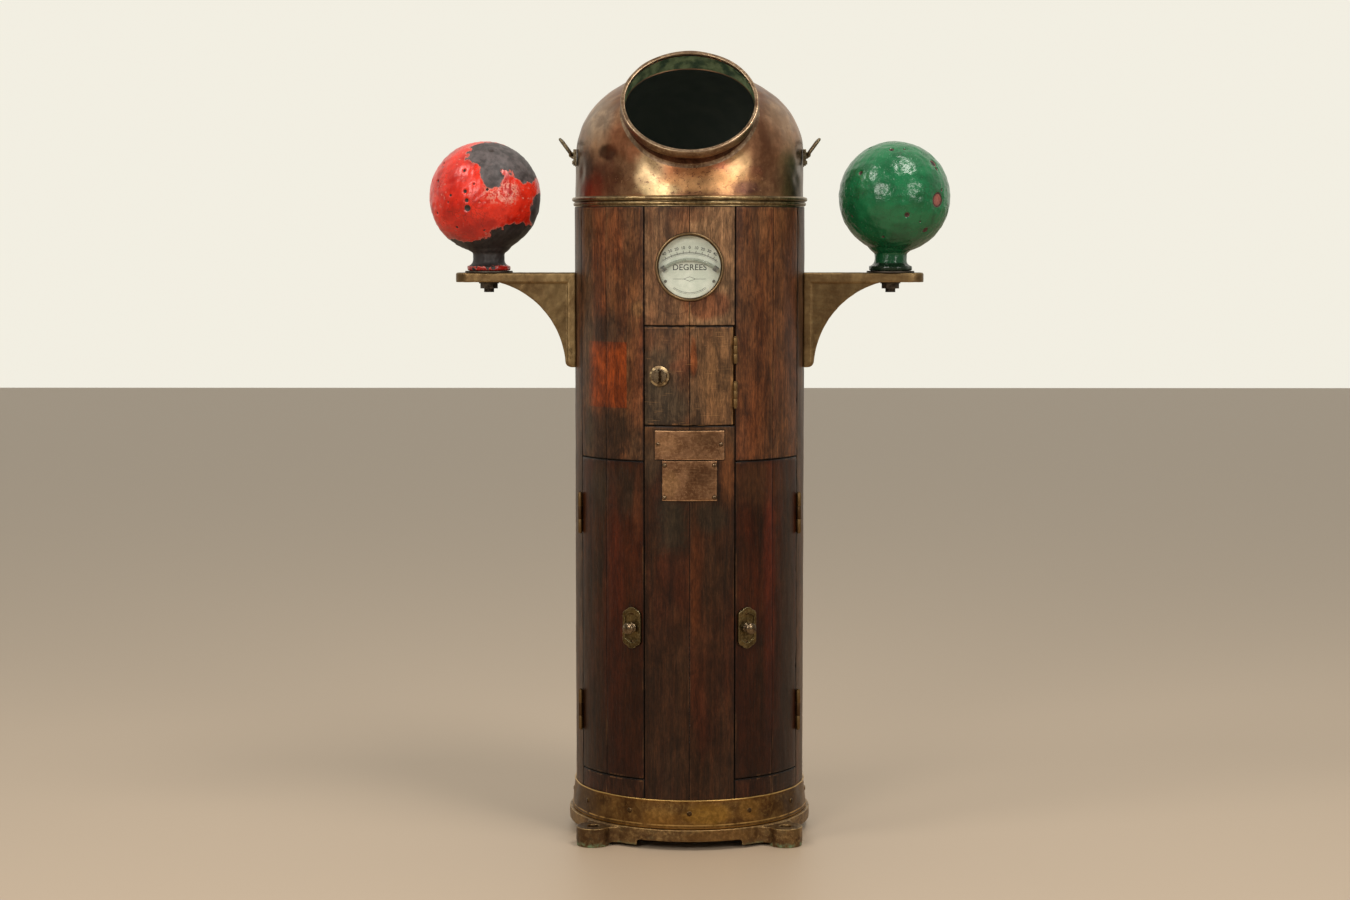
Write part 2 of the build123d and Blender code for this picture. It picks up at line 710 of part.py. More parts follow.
with BuildPart() as bracket_bolts:
    for side in (-1, 1):
        for height in bracket_bolt_heights:
            for y in (-bracket_bolt_y, bracket_bolt_y):
                with BuildSketch(Plane.YZ.offset(side * (saddle_x + 6.6))):
                    with Locations((y, height)):
                        RegularPolygon(9, 6)
                extrude(amount=-side * 6.5)
                with BuildSketch(Plane.YZ.offset(side * (saddle_x + 6.6))):
                    with Locations((y, height)):
                        Circle(bracket_bolt_r)
                extrude(amount=-side * (saddle_x + 6.6 - 138))
                with BuildSketch(Plane.YZ.offset(side * 142)):
                    with Locations((y, height)):
                        RegularPolygon(9, 6)
                extrude(amount=side * (152.6 - 142))
bracket_bolts.part.label = "bracket_bolts"
export_step(bracket_bolts.part, "parts/bracket_bolts.step")

# ---- quadrantal spheres --------------------------------------------------------------------
flange_bottom = bracket_top + washer_thickness

with BuildPart() as right_sphere:
    with BuildSketch(Plane(origin=(sphere_stem_x, 0, 0), x_dir=(1, 0, 0), z_dir=(0, -1, 0))):
        with BuildLine():
            lower = Polyline((0, flange_bottom), (stem_flange_r - 1.5, flange_bottom),
                             (stem_flange_r, flange_bottom + 1.5),
                             (stem_flange_r, stem_flange_top - 4))
            shoulder = RadiusArc(lower @ 1, (stem_r, stem_flange_top + 5), 9)
            neck = Line(shoulder @ 1, (stem_r, stem_flange_top + 16))
            swell = RadiusArc(neck @ 1, (stem_r + 12, stem_flange_top + 31), -22)
            Polyline(swell @ 1, (0, sphere_z - 60), (0, flange_bottom))
        make_face()
    revolve(axis=Axis((sphere_stem_x, 0, 0), (0, 0, 1)))
    with Locations((sphere_x, 0, sphere_z)):
        Sphere(sphere_r)
    with BuildSketch(Plane.XY.offset(flange_bottom)):
        with Locations((sphere_stem_x, 0)):
            Circle(stud_r + 0.02)
    extrude(amount=30, mode=Mode.SUBTRACT)
right_sphere.part.label = "right_sphere"
export_step(right_sphere.part, "parts/right_sphere.step")

with BuildPart() as left_sphere:
    mirror(right_sphere.part, about=Plane.YZ)
left_sphere.part.label = "left_sphere"
export_step(left_sphere.part, "parts/left_sphere.step")

with BuildPart() as right_sphere_stud:
    with BuildSketch(Plane.XY.offset(plate_bottom - 16)):
        with Locations((sphere_stem_x, 0)):
            Circle(stud_r)
    extrude(amount=flange_bottom + 29 - plate_bottom + 16)
    with BuildSketch(Plane.XY.offset(plate_bottom - 10.2)):
        with Locations((sphere_stem_x, 0)):
            RegularPolygon(14, 6)
    extrude(amount=8)
    with BuildSketch(Plane.XY.offset(plate_bottom - 2.2)):
        with Locations((sphere_stem_x, 0)):
            Circle(16)
            Circle(stud_r, mode=Mode.SUBTRACT)
    extrude(amount=2.1)
    with BuildSketch(Plane.XY.offset(bracket_top + 0.1)):
        with Locations((sphere_stem_x, 0)):
            Circle(stem_flange_r + 3)
    extrude(amount=washer_thickness - 0.2)
right_sphere_stud.part.label = "right_sphere_stud"
export_step(right_sphere_stud.part, "parts/right_sphere_stud.step")

with BuildPart() as left_sphere_stud:
    mirror(right_sphere_stud.part, about=Plane.YZ)
left_sphere_stud.part.label = "left_sphere_stud"
export_step(left_sphere_stud.part, "parts/left_sphere_stud.step")

# ---- doors ---------------------------------------------------------------------------------
small_hinge_angle = door_edge - arc_angle(small_door_hinge_gap / 2)
latch_hole_r = 3.0 + running_clearance

with BuildPart() as small_door:
    stave_run(-door_edge, 2, small_door_bottom, small_door_top,
              start_gap=door_gap, end_gap=small_door_hinge_gap)
    batten(-15, 15, small_door_bottom + 12, small_door_bottom + 34)
    batten(-15, 15, small_door_top - 34, small_door_top - 12)
    radial_cylinder(small_knob_angle, small_knob_z, latch_hole_r, 140, 190, Mode.SUBTRACT)
small_door.part.label = "small_door"
export_step(small_door.part, "parts/small_door.step")


def lower_door(side):
    """Add a lower door's staves and battens, with the hole for its latch."""
    start = door_edge if side > 0 else -door_hinge_edge
    gaps = (door_gap, 1.0) if side > 0 else (1.0, door_gap)
    stave_run(start, 2, lower_door_bottom, lower_door_top, start_gap=gaps[0], end_gap=gaps[1])
    for bottom in (lower_door_bottom + 40, lower_door_top - 70):
        batten(side * 45 - 17, side * 45 + 17, bottom, bottom + 30)
    radial_cylinder(side * catch_angle, catch_z, latch_hole_r, 140, 190, Mode.SUBTRACT)
    cut_hinge_mortises(side * door_hinge_edge, lower_hinge_heights, lower_hinge_length)


with BuildPart() as left_door:
    lower_door(-1)
left_door.part.label = "left_door"
export_step(left_door.part, "parts/left_door.step")

with BuildPart() as right_door:
    lower_door(1)
right_door.part.label = "right_door"
export_step(right_door.part, "parts/right_door.step")

# ---- hinges --------------------------------------------------------------------------------
with BuildPart() as fixed_hinge_leaves:
    for height in small_hinge_heights:
        hinge_leaf(small_hinge_angle, height, small_hinge_length, 1, True)
        hinge_pin(small_hinge_angle, height, small_hinge_length)
    for height in lower_hinge_heights:
        hinge_leaf(door_hinge_edge, height, lower_hinge_length, 1, True)
        hinge_pin(door_hinge_edge, height, lower_hinge_length)
        hinge_leaf(-door_hinge_edge, height, lower_hinge_length, -1, True)
        hinge_pin(-door_hinge_edge, height, lower_hinge_length)
fixed_hinge_leaves.part.label = "fixed_hinge_leaves"
export_step(fixed_hinge_leaves.part, "parts/fixed_hinge_leaves.step")

with BuildPart() as small_door_leaves:
    for height in small_hinge_heights:
        hinge_leaf(small_hinge_angle, height, small_hinge_length, -1, False)
small_door_leaves.part.label = "small_door_leaves"
export_step(small_door_leaves.part, "parts/small_door_leaves.step")

with BuildPart() as left_door_leaves:
    for height in lower_hinge_heights:
        hinge_leaf(-door_hinge_edge, height, lower_hinge_length, 1, False)
left_door_leaves.part.label = "left_door_leaves"
export_step(left_door_leaves.part, "parts/left_door_leaves.step")

with BuildPart() as right_door_leaves:
    for height in lower_hinge_heights:
        hinge_leaf(door_hinge_edge, height, lower_hinge_length, -1, False)
right_door_leaves.part.label = "right_door_leaves"
export_step(right_door_leaves.part, "parts/right_door_leaves.step")

# ---- small door's knob and rose ------------------------------------------------------------
with BuildPart() as small_door_rose:
    with BuildSketch(facing(small_knob_angle, column_r - 2, small_knob_z)):
        Circle(15.7)
        Circle(latch_hole_r, mode=Mode.SUBTRACT)
    extrude(amount=5.5)
    with BuildSketch(Plane.XY.offset(small_knob_z - 20)):
        Circle(column_r + 0.05)
    extrude(amount=40, mode=Mode.SUBTRACT)
small_door_rose.part.label = "small_door_rose"
export_step(small_door_rose.part, "parts/small_door_rose.step")

knob_seat_r = column_r + 3.7

with BuildPart() as small_door_knob:
    turn_latch(small_knob_angle, small_knob_z, 28, knob_seat_r + 1)
    radial_cylinder(small_knob_angle, small_knob_z, 12.0, knob_seat_r, knob_seat_r + 4)
    with BuildSketch(facing(small_knob_angle, knob_seat_r + 3.5, small_knob_z)):
        SlotOverall(22, 8, rotation=90)
    extrude(amount=11, taper=8)
small_door_knob.part.label = "small_door_knob"
export_step(small_door_knob.part, "parts/small_door_knob.step")


# ---- lower doors' catch plates and knobs ---------------------------------------------------
def catch_plate(side):
    """Add one cast catch plate with a raised border, bedded on the round door."""
    with BuildSketch(facing(side * catch_angle, column_r - 2, catch_z)) as outline:
        catch_plate_outline()
    extrude(outline.sketch, amount=7.5)
    with BuildSketch(facing(side * catch_angle, column_r + 2.8, catch_z)) as floor_outline:
        RectangleRounded(23, 39, 4)
        with Locations((0, -14), (0, 14)):
            Circle(9.5)
    extrude(floor_outline.sketch, amount=5, mode=Mode.SUBTRACT)
    radial_cylinder(side * catch_angle, catch_z, latch_hole_r, 160, 200, Mode.SUBTRACT)
    with BuildSketch(Plane.XY.offset(catch_z - 40)) as column_outline:
        Circle(column_r + 0.05)
    extrude(column_outline.sketch, amount=80, mode=Mode.SUBTRACT)


def catch_knob(side):
    """Add one catch's turned knob, its spindle and its cam."""
    turn_latch(side * catch_angle, catch_z, 24, column_r + 9)
    neck = facing(side * catch_angle, column_r, catch_z)
    section = Plane(origin=neck.origin, x_dir=neck.x_dir, z_dir=(0, 0, -1))
    with BuildSketch(section) as turning:
        with BuildLine() as outline:
            base = Polyline((0, 3.2), (7.5, 3.2), (7.5, 5.0))
            waist = ThreePointArc(base @ 1, (4.4, 8.0), (5.5, 11.5))
            crown = ThreePointArc(waist @ 1, (9.2, 15.5), (6.5, 19.6))
            face_r = 15.0
            face_centre = 19.6 - sqrt(face_r ** 2 - 6.5 ** 2)
            face_spread = degrees(asin(6.5 / face_r))
            face = CenterArc((0, face_centre), face_r, 90 - face_spread, face_spread)
            Line(face @ 1, (0, 3.2))
        make_face(outline.edges())
    revolve(turning.sketch, axis=Axis(neck.origin, neck.z_dir))


with BuildPart() as left_catch_plate:
    catch_plate(-1)
left_catch_plate.part.label = "left_catch_plate"
export_step(left_catch_plate.part, "parts/left_catch_plate.step")

with BuildPart() as right_catch_plate:
    catch_plate(1)
right_catch_plate.part.label = "right_catch_plate"
export_step(right_catch_plate.part, "parts/right_catch_plate.step")

with BuildPart() as left_catch_knob:
    catch_knob(-1)
left_catch_knob.part.label = "left_catch_knob"
export_step(left_catch_knob.part, "parts/left_catch_knob.step")

with BuildPart() as right_catch_knob:
    catch_knob(1)
right_catch_knob.part.label = "right_catch_knob"
export_step(right_catch_knob.part, "parts/right_catch_knob.step")

# ---- copper patches ------------------------------------------------------------------------
with BuildPart() as copper_patches:
    for half_width, (bottom, top) in zip(patch_edges, patch_heights):
        with BuildSketch(Plane.XY.offset(bottom)) as patch_section:
            sector(column_r + 0.05, column_r + 0.05 + patch_sheet,
                   -arc_angle(half_width), arc_angle(half_width))
        extrude(amount=top - bottom)
    for across, height in patch_rivets_at:
        radial_cylinder(arc_angle(across), height, 1.3, 180, 190, Mode.SUBTRACT)
copper_patches.part.label = "copper_patches"
export_step(copper_patches.part, "parts/copper_patches.step")

with BuildPart() as patch_rivets:
    for across, height in patch_rivets_at:
        radial_cylinder(arc_angle(across), height, 1.25, 173, column_r + patch_sheet + 1)
        radial_cylinder(arc_angle(across), height, 2.6, column_r + patch_sheet + 0.1,
                        column_r + patch_sheet + 1.6)
patch_rivets.part.label = "patch_rivets"
export_step(patch_rivets.part, "parts/patch_rivets.step")

# ---- clinometer ----------------------------------------------------------------------------
clinometer_axis = Axis((0, 0, clinometer_z), (0, 1, 0))
clinometer_section = Plane.XY.offset(clinometer_z)

with BuildPart() as clinometer_case:
    with BuildSketch(clinometer_section):
        with BuildLine():
            Polyline((0, clinometer_back_y), (clinometer_case_r, clinometer_back_y),
                     (clinometer_case_r, clinometer_seat_y - 0.1), (48.2, clinometer_seat_y - 0.1),
                     (48.2, clinometer_back_y - 2), (0, clinometer_back_y - 2), close=True)
        make_face()
    revolve(axis=clinometer_axis)
clinometer_case.part.label = "clinometer_case"
export_step(clinometer_case.part, "parts/clinometer_case.step")

with BuildPart() as clinometer_dial:
    with BuildSketch(Plane.XZ.offset(171.5)):
        with Locations((0, clinometer_z)):
            Circle(dial_r)
    extrude(amount=1.5)
clinometer_dial.part.label = "clinometer_dial"
export_step(clinometer_dial.part, "parts/clinometer_dial.step")

with BuildPart() as clinometer_glass:
    with BuildSketch(Plane.XZ.offset(-clinometer_seat_y + 0.3)):
        with Locations((0, clinometer_z)):
            Circle(49.3)
    extrude(amount=2.4)
clinometer_glass.part.label = "clinometer_glass"
export_step(clinometer_glass.part, "parts/clinometer_glass.step")

with BuildPart() as clinometer_bezel:
    with BuildSketch(clinometer_section):
        with BuildLine():
            Polyline((49.5, clinometer_seat_y - 0.2), (clinometer_r, clinometer_seat_y - 0.2),
                     (clinometer_r, clinometer_front_y + 2.2), (51.4, clinometer_front_y + 0.5),
                     (50.2, clinometer_front_y), (49.0, clinometer_front_y + 0.5),
                     (47.2, clinometer_front_y + 3.4), (47.2, clinometer_seat_y - 2.9),
                     (49.5, clinometer_seat_y - 2.9), close=True)
        make_face()
    revolve(axis=clinometer_axis)
clinometer_bezel.part.label = "clinometer_bezel"
export_step(clinometer_bezel.part, "parts/clinometer_bezel.step")

vial_half_angle = degrees(asin(vial_half_chord / vial_arc_r))


def curved_rod(rod_r, from_angle, to_angle, mode=Mode.ADD):
    """Add or cut a round rod bent along the vial's arc, between two angles from its top."""
    lean = radians(from_angle)
    start = Plane(origin=(vial_arc_r * sin(lean), vial_y, vial_arc_z + vial_arc_r * cos(lean)),
                  x_dir=(sin(lean), 0, cos(lean)), z_dir=(cos(lean), 0, -sin(lean)))
    with BuildSketch(start) as section:
        Circle(rod_r)
    revolve(section.sketch, axis=Axis((0, vial_y, vial_arc_z), (0, 1, 0)),
            revolution_arc=to_angle - from_angle, mode=mode)


with BuildPart() as clinometer_vial:
    curved_rod(vial_r, -vial_half_angle, vial_half_angle)
    curved_rod(vial_bore_r, -vial_half_angle + 1, vial_half_angle - 1, Mode.SUBTRACT)
clinometer_vial.part.label = "clinometer_vial"
export_step(clinometer_vial.part, "parts/clinometer_vial.step")

with BuildPart() as clinometer_bubble:
    curved_rod(vial_bore_r - 0.3, -5, 5)
clinometer_bubble.part.label = "clinometer_bubble"
export_step(clinometer_bubble.part, "parts/clinometer_bubble.step")

with BuildPart() as clinometer_fittings:
    for side in (-1, 1):
        inner_angle = side * (vial_half_angle - 5)
        outer_angle = side * (vial_half_angle + 1.5)
        curved_rod(vial_r + 1.1, min(inner_angle, outer_angle), max(inner_angle, outer_angle))
    curved_rod(vial_r + 0.03, -vial_half_angle - 0.1, vial_half_angle + 0.1, Mode.SUBTRACT)
    with BuildSketch(Plane.XZ.offset(173.05)):
        with Locations((-37, clinometer_z - 22), (37, clinometer_z - 22)):
            Circle(2.4)
    extrude(amount=1.2)
clinometer_fittings.part.label = "clinometer_fittings"
export_step(clinometer_fittings.part, "parts/clinometer_fittings.step")

# ---- compass in its gimbals ----------------------------------------------------------------
with BuildPart() as gimbal_bearings:
    for side in (-1, 1):
        with BuildSketch(Plane.XY.offset(ring_top + 0.05)):
            with Locations((side * 159, 0)):
                Rectangle(14, 20)
        extrude(amount=gimbal_z + 9 - ring_top)
    with BuildSketch(Plane.YZ.offset(-180)):
        with Locations((0, gimbal_z)):
            Circle(pivot_r + running_clearance)
        with Locations((0, gimbal_z + 8)):
            Rectangle(2 * (pivot_r + running_clearance), 16)
    extrude(amount=360, mode=Mode.SUBTRACT)
gimbal_bearings.part.label = "gimbal_bearings"
export_step(gimbal_bearings.part, "parts/gimbal_bearings.step")

with BuildPart() as gimbal_ring:
    with BuildSketch(Plane.XY.offset(gimbal_z - gimbal_half_height)):
        Circle(gimbal_r)
        Circle(gimbal_bore_r, mode=Mode.SUBTRACT)
    extrude(amount=2 * gimbal_half_height)
    for side in (-1, 1):
        with BuildSketch(Plane.YZ.offset(side * (gimbal_r - 2))):
            with Locations((0, gimbal_z)):
                Circle(pivot_r)
        extrude(amount=side * 28)
    with BuildSketch(Plane.XZ.offset(-gimbal_r - 5)):
        with Locations((0, gimbal_z)):
            Circle(pivot_r + running_clearance)
    extrude(amount=2 * gimbal_r + 10, mode=Mode.SUBTRACT)
gimbal_ring.part.label = "gimbal_ring"
export_step(gimbal_ring.part, "parts/gimbal_ring.step")

with BuildPart() as compass_bowl:
    with BuildSketch(Plane.XZ):
        with BuildLine():
            outside_wall = Line((bowl_r, bowl_top), (bowl_r, bowl_skirt_bottom))
            belly = EllipticalCenterArc((0, bowl_skirt_bottom), bowl_r,
                                        bowl_skirt_bottom - bowl_bottom,
                                        start_angle=-90, arc_size=90)
            Polyline(belly @ 0, (0, bowl_top), outside_wall @ 0)
        make_face()
    revolve(axis=Axis.Z)
    with BuildSketch(Plane.XZ):
        with BuildLine():
            inside_wall = Line((bowl_r - bowl_wall, bowl_top + 1),
                               (bowl_r - bowl_wall, bowl_skirt_bottom))
            hollow = EllipticalCenterArc((0, bowl_skirt_bottom), bowl_r - bowl_wall,
                                         bowl_skirt_bottom - bowl_bottom - 22,
                                         start_angle=-90, arc_size=90)
            Polyline(hollow @ 0, (0, bowl_top + 1), inside_wall @ 0)
        make_face()
    revolve(axis=Axis.Z, mode=Mode.SUBTRACT)
    with BuildSketch(Plane.XZ):
        with BuildLine():
            Polyline((0, bowl_bottom + 18), (6, bowl_bottom + 18), (3, card_z - 10),
                     (1.5, card_z - 2), (0, card_z), close=True)
        make_face()
    revolve(axis=Axis.Z)
    for side in (-1, 1):
        with BuildSketch(Plane.XZ.offset(side * (bowl_r - 2))):
            with Locations((0, gimbal_z)):
                Circle(pivot_r)
        extrude(amount=side * 22)
compass_bowl.part.label = "compass_bowl"
export_step(compass_bowl.part, "parts/compass_bowl.step")

with BuildPart() as bowl_bezel:
    with BuildSketch(Plane.XZ):
        with BuildLine():
            Polyline((bowl_r + 0.1, bowl_top - 1), (bowl_r + 3, bowl_top - 1),
                     (bowl_r + 3, bowl_top + 7), (bowl_r - 8, bowl_top + 7),
                     (bowl_r - 8, bowl_top + 5), (bowl_r + 0.1, bowl_top + 5), close=True)
        make_face()
    revolve(axis=Axis.Z)
bowl_bezel.part.label = "bowl_bezel"
export_step(bowl_bezel.part, "parts/bowl_bezel.step")

with BuildPart() as bowl_glass:
    with BuildSketch(Plane.XY.offset(bowl_top + 0.1)):
        Circle(bowl_r - 0.1)
    extrude(amount=4.7)
bowl_glass.part.label = "bowl_glass"
export_step(bowl_glass.part, "parts/bowl_glass.step")

with BuildPart() as compass_card:
    with BuildSketch(Plane.XY.offset(card_z)):
        Circle(card_r)
    extrude(amount=1.2)
    with BuildSketch(Plane.XY.offset(card_z - 6)):
        Circle(12)
    extrude(amount=10)
    with BuildSketch(Plane.XZ):
        with BuildLine():
            Polyline((0, card_z - 7), (5.5, card_z - 7), (3.2, card_z), (0, card_z + 1),
                     close=True)
        make_face()
    revolve(axis=Axis.Z, mode=Mode.SUBTRACT)
compass_card.part.label = "compass_card"
export_step(compass_card.part, "parts/compass_card.step")

with BuildPart() as card_magnets:
    for across in (18, 32, 46, 60):
        needle = 1.5 * sqrt(card_r ** 2 - across ** 2)
        with BuildSketch(Plane.XY.offset(card_z - 3.5)):
            with Locations((-across, 0), (across, 0)):
                Rectangle(3, needle)
        extrude(amount=3.4)
card_magnets.part.label = "card_magnets"
export_step(card_magnets.part, "parts/card_magnets.step")

# ---- heeling-error tube and bucket ---------------------------------------------------------
with BuildPart() as heeling_tube:
    with BuildSketch(Plane.XY.offset(tube_bottom)):
        Circle(tube_r)
        Circle(tube_bore_r, mode=Mode.SUBTRACT)
    extrude(amount=chamber_board_z + chamber_board_thickness + 4.1 - tube_bottom)
    with BuildSketch(Plane.XY.offset(chamber_board_z + chamber_board_thickness + 0.1)):
        Circle(tube_r + 16)
        Circle(tube_bore_r, mode=Mode.SUBTRACT)
    extrude(amount=4)
heeling_tube.part.label = "heeling_tube"
export_step(heeling_tube.part, "parts/heeling_tube.step")

with BuildPart() as heeling_bucket:
    with BuildSketch(Plane.XY.offset(600)):
        Circle(tube_bore_r - 0.4)
    extrude(amount=120)
    with BuildSketch(Plane.XY.offset(606)):
        with PolarLocations(12.5, 6):
            Circle(magnet_r + 0.1)
    extrude(amount=115, mode=Mode.SUBTRACT)
    with BuildSketch(Plane.XY.offset(606.1)):
        with PolarLocations(12.5, 6):
            Circle(magnet_r)
    extrude(amount=110)
heeling_bucket.part.label = "heeling_bucket"
export_step(heeling_bucket.part, "parts/heeling_bucket.step")

# ---- corrector magnets and their racks -----------------------------------------------------
side_rack_rows = (550.0, 580.0)
side_rack_columns = (78.0, 104.0)
back_rack_rows = (492.0, 514.0)
back_rack_y = 62.0
rod_length = 180.0

with BuildPart() as magnet_racks:
    for side in (-1, 1):
        with BuildSketch(Plane.XY.offset(532)):
            with Locations((side * 91, 0)):
                Rectangle(54, 24)
        extrude(amount=shelf_board_z - 0.1 - 532)
    with BuildSketch(Plane.XY.offset(478)):
        with Locations((0, back_rack_y)):
            Rectangle(50, 26)
    extrude(amount=shelf_board_z - 0.1 - 478)
    with BuildSketch(Plane.XZ.offset(-30)):
        for side in (-1, 1):
            with Locations(*[(side * x, z) for x in side_rack_columns for z in side_rack_rows]):
                Circle(magnet_r + 0.05)
    extrude(amount=60, mode=Mode.SUBTRACT)
    with BuildSketch(Plane.YZ.offset(-40)):
        with Locations(*[(back_rack_y, z) for z in back_rack_rows]):
            Circle(magnet_r + 0.05)
    extrude(amount=80, mode=Mode.SUBTRACT)
magnet_racks.part.label = "magnet_racks"
export_step(magnet_racks.part, "parts/magnet_racks.step")

with BuildPart() as corrector_magnets:
    with BuildSketch(Plane.XZ.offset(-rod_length / 2)):
        for side in (-1, 1):
            with Locations(*[(side * x, z) for x in side_rack_columns for z in side_rack_rows]):
                Circle(magnet_r)
    extrude(amount=rod_length)
    with BuildSketch(Plane.YZ.offset(-rod_length / 2)):
        with Locations(*[(back_rack_y, z) for z in back_rack_rows]):
            Circle(magnet_r)
    extrude(amount=rod_length)
corrector_magnets.part.label = "corrector_magnets"
export_step(corrector_magnets.part, "parts/corrector_magnets.step")
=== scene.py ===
import math
import bmesh
import bpy
import numpy as np
from mathutils import Matrix, Vector


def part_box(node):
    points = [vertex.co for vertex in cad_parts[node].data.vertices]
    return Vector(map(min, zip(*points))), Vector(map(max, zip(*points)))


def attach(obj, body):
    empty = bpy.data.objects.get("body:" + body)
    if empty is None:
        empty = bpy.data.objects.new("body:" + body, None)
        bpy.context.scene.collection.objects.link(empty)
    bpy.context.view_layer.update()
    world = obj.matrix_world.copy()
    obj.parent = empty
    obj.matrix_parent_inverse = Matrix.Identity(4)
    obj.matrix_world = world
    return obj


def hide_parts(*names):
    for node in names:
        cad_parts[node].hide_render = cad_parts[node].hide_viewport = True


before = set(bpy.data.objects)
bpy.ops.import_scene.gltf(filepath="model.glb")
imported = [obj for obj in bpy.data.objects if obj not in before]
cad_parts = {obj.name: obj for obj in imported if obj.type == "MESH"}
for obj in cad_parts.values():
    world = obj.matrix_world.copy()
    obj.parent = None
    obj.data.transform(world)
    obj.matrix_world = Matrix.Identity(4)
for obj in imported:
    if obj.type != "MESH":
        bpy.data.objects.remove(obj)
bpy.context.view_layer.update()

# ---- camera --------------------------------------------------------------------------------
FOCAL_PIXELS = 2500.0
FRAME_PIXELS = 1350.0
TILT_PIXELS, TURN_PIXELS = 210, 14.6
camera_data = bpy.data.cameras.new("camera")
camera_data.sensor_width = 36.0
camera_data.lens = 36.0 * FOCAL_PIXELS / FRAME_PIXELS
camera_data.clip_end = 60.0
camera = bpy.data.objects.new("camera", camera_data)
camera.location = (0.0, -4.008, 0.945)
camera.rotation_euler = (math.radians(90) - math.atan(TILT_PIXELS / FOCAL_PIXELS), 0,
                         math.atan(TURN_PIXELS / FOCAL_PIXELS))
bpy.context.scene.collection.objects.link(camera)
bpy.context.scene.camera = camera

# ---- sizes taken from the CAD frame --------------------------------------------------------
def low(node):
    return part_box(node)[0]


def high(node):
    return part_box(node)[1]


def middle(node):
    a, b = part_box(node)
    return (a + b) / 2


COLUMN_R = high("back_staves").x
BORE_R = COLUMN_R - 0.028
BATTEN_R = BORE_R - 0.008
STAVE = 22.5
STAVE_ARC = math.radians(STAVE) * COLUMN_R
RING_TOP = 1.0052
TILT = math.radians(40)
WINDOW_AXIS = Vector((0, -math.cos(TILT), math.sin(TILT)))
WINDOW_UP = Vector((0, math.sin(TILT), math.cos(TILT)))
WINDOW_SIDE = Vector((1, 0, 0))
WINDOW_CENTRE = Vector((0, -0.139, 1.159))
HOOD_R = high("hood_shell").x
HOOD_BOTTOM = low("hood_shell").z
DOME_BASE = 1.0816
DOME_HEIGHT = high("hood_shell").z - DOME_BASE
COPPER_SHEET = 0.0018
SPINDLE_HOLE_R = 0.0031
SPHERE_R, SPHERE_X, SPHERE_Z = 0.089, 0.3265, 1.013


# ---- smooth repeatable noise for shapes ----------------------------------------------------
def ripple(points, wavelength, seed, count=14):
    """Smooth noise of about -1..1 at each point, with features about this long."""
    dice = np.random.RandomState(seed)
    ways = dice.normal(size=(count, 3))
    ways /= np.linalg.norm(ways, axis=1)[:, None]
    lengths = wavelength * dice.uniform(0.6, 1.7, count)
    phases = dice.uniform(0, 2 * math.pi, count)
    total = np.zeros(len(points))
    for way, length, phase in zip(ways, lengths, phases):
        total += np.sin(points @ way * (2 * math.pi / length) + phase)
    return total * (1.3 / math.sqrt(count))


def near(points, centre, reach):
    """A smooth bump of 1 at centre that falls to 0 at these reaches along X, Y and Z."""
    gap = (points - np.array(centre)) / np.array(reach)
    return np.exp(-2.2 * (gap ** 2).sum(1))


# ---- meshes --------------------------------------------------------------------------------
def edited(mesh, *changes):
    """The mesh after changes made with bmesh."""
    work = bmesh.new()
    work.from_mesh(mesh)
    for change in changes:
        change(work)
    work.to_mesh(mesh)
    work.free()
    return mesh


def face_outwards(work):
    bmesh.ops.recalc_face_normals(work, faces=work.faces)


def weld(work, distance=1e-6):
    bmesh.ops.remove_doubles(work, verts=work.verts, dist=distance)


def drop_loose_points(work):
    bmesh.ops.delete(work, geom=[v for v in work.verts if not v.link_faces], context="VERTS")


def make_mesh(name, verts, faces, smooth=True, solid=False):
    """A mesh from points and faces. smooth is yes, no or one value for each face."""
    mesh = bpy.data.meshes.new(name)
    mesh.from_pydata([tuple(v) for v in verts], [], faces)
    mesh.validate()
    if solid:
        edited(mesh, face_outwards)
    if smooth is True:
        mesh.shade_smooth()
    elif smooth is not False:
        mesh.polygons.foreach_set("use_smooth", smooth)
    return mesh


def piece(name, mesh, body, slot, material, *replaced):
    """Add a shown piece that rides on a body and stands for CAD nodes."""
    obj = bpy.data.objects.new(name, mesh)
    bpy.context.scene.collection.objects.link(obj)
    mesh.materials.clear()
    mesh.materials.append(material)
    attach(obj, body)
    if replaced:
        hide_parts(*replaced)
    return obj


def points_of(mesh):
    co = np.zeros(len(mesh.vertices) * 3, np.float32)
    mesh.vertices.foreach_get("co", co)
    return co.reshape(-1, 3).astype(float)


def normals_of(mesh):
    co = np.zeros(len(mesh.vertices) * 3, np.float32)
    mesh.vertices.foreach_get("normal", co)
    return co.reshape(-1, 3).astype(float)


def set_points(mesh, points):
    mesh.vertices.foreach_set("co", points.astype(np.float32).ravel())
    mesh.update()


def copy_of(node):
    """A clean copy of a CAD node's mesh with its split corners joined."""
    return edited(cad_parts[node].data.copy(), lambda work: weld(work, 2e-6),
                  lambda work: bmesh.ops.dissolve_degenerate(work, edges=work.edges, dist=1e-7))


def modified(mesh, steps):
    """The mesh after a list of modifiers, each (kind, settings)."""
    helper = bpy.data.objects.new("helper", mesh)
    bpy.context.scene.collection.objects.link(helper)
    for kind, settings in steps:
        modifier = helper.modifiers.new(kind, kind)
        for key, value in settings.items():
            setattr(modifier, key, value)
    bpy.context.view_layer.update()
    shape = helper.evaluated_get(bpy.context.evaluated_depsgraph_get())
    result = bpy.data.meshes.new_from_object(shape)
    bpy.data.objects.remove(helper)
    return result


def smooth_by_angle(mesh, degrees=35):
    """The mesh shaded smooth, except over edges sharper than this."""
    mesh.shade_smooth()
    mesh.set_sharp_from_angle(angle=math.radians(degrees))
    return mesh


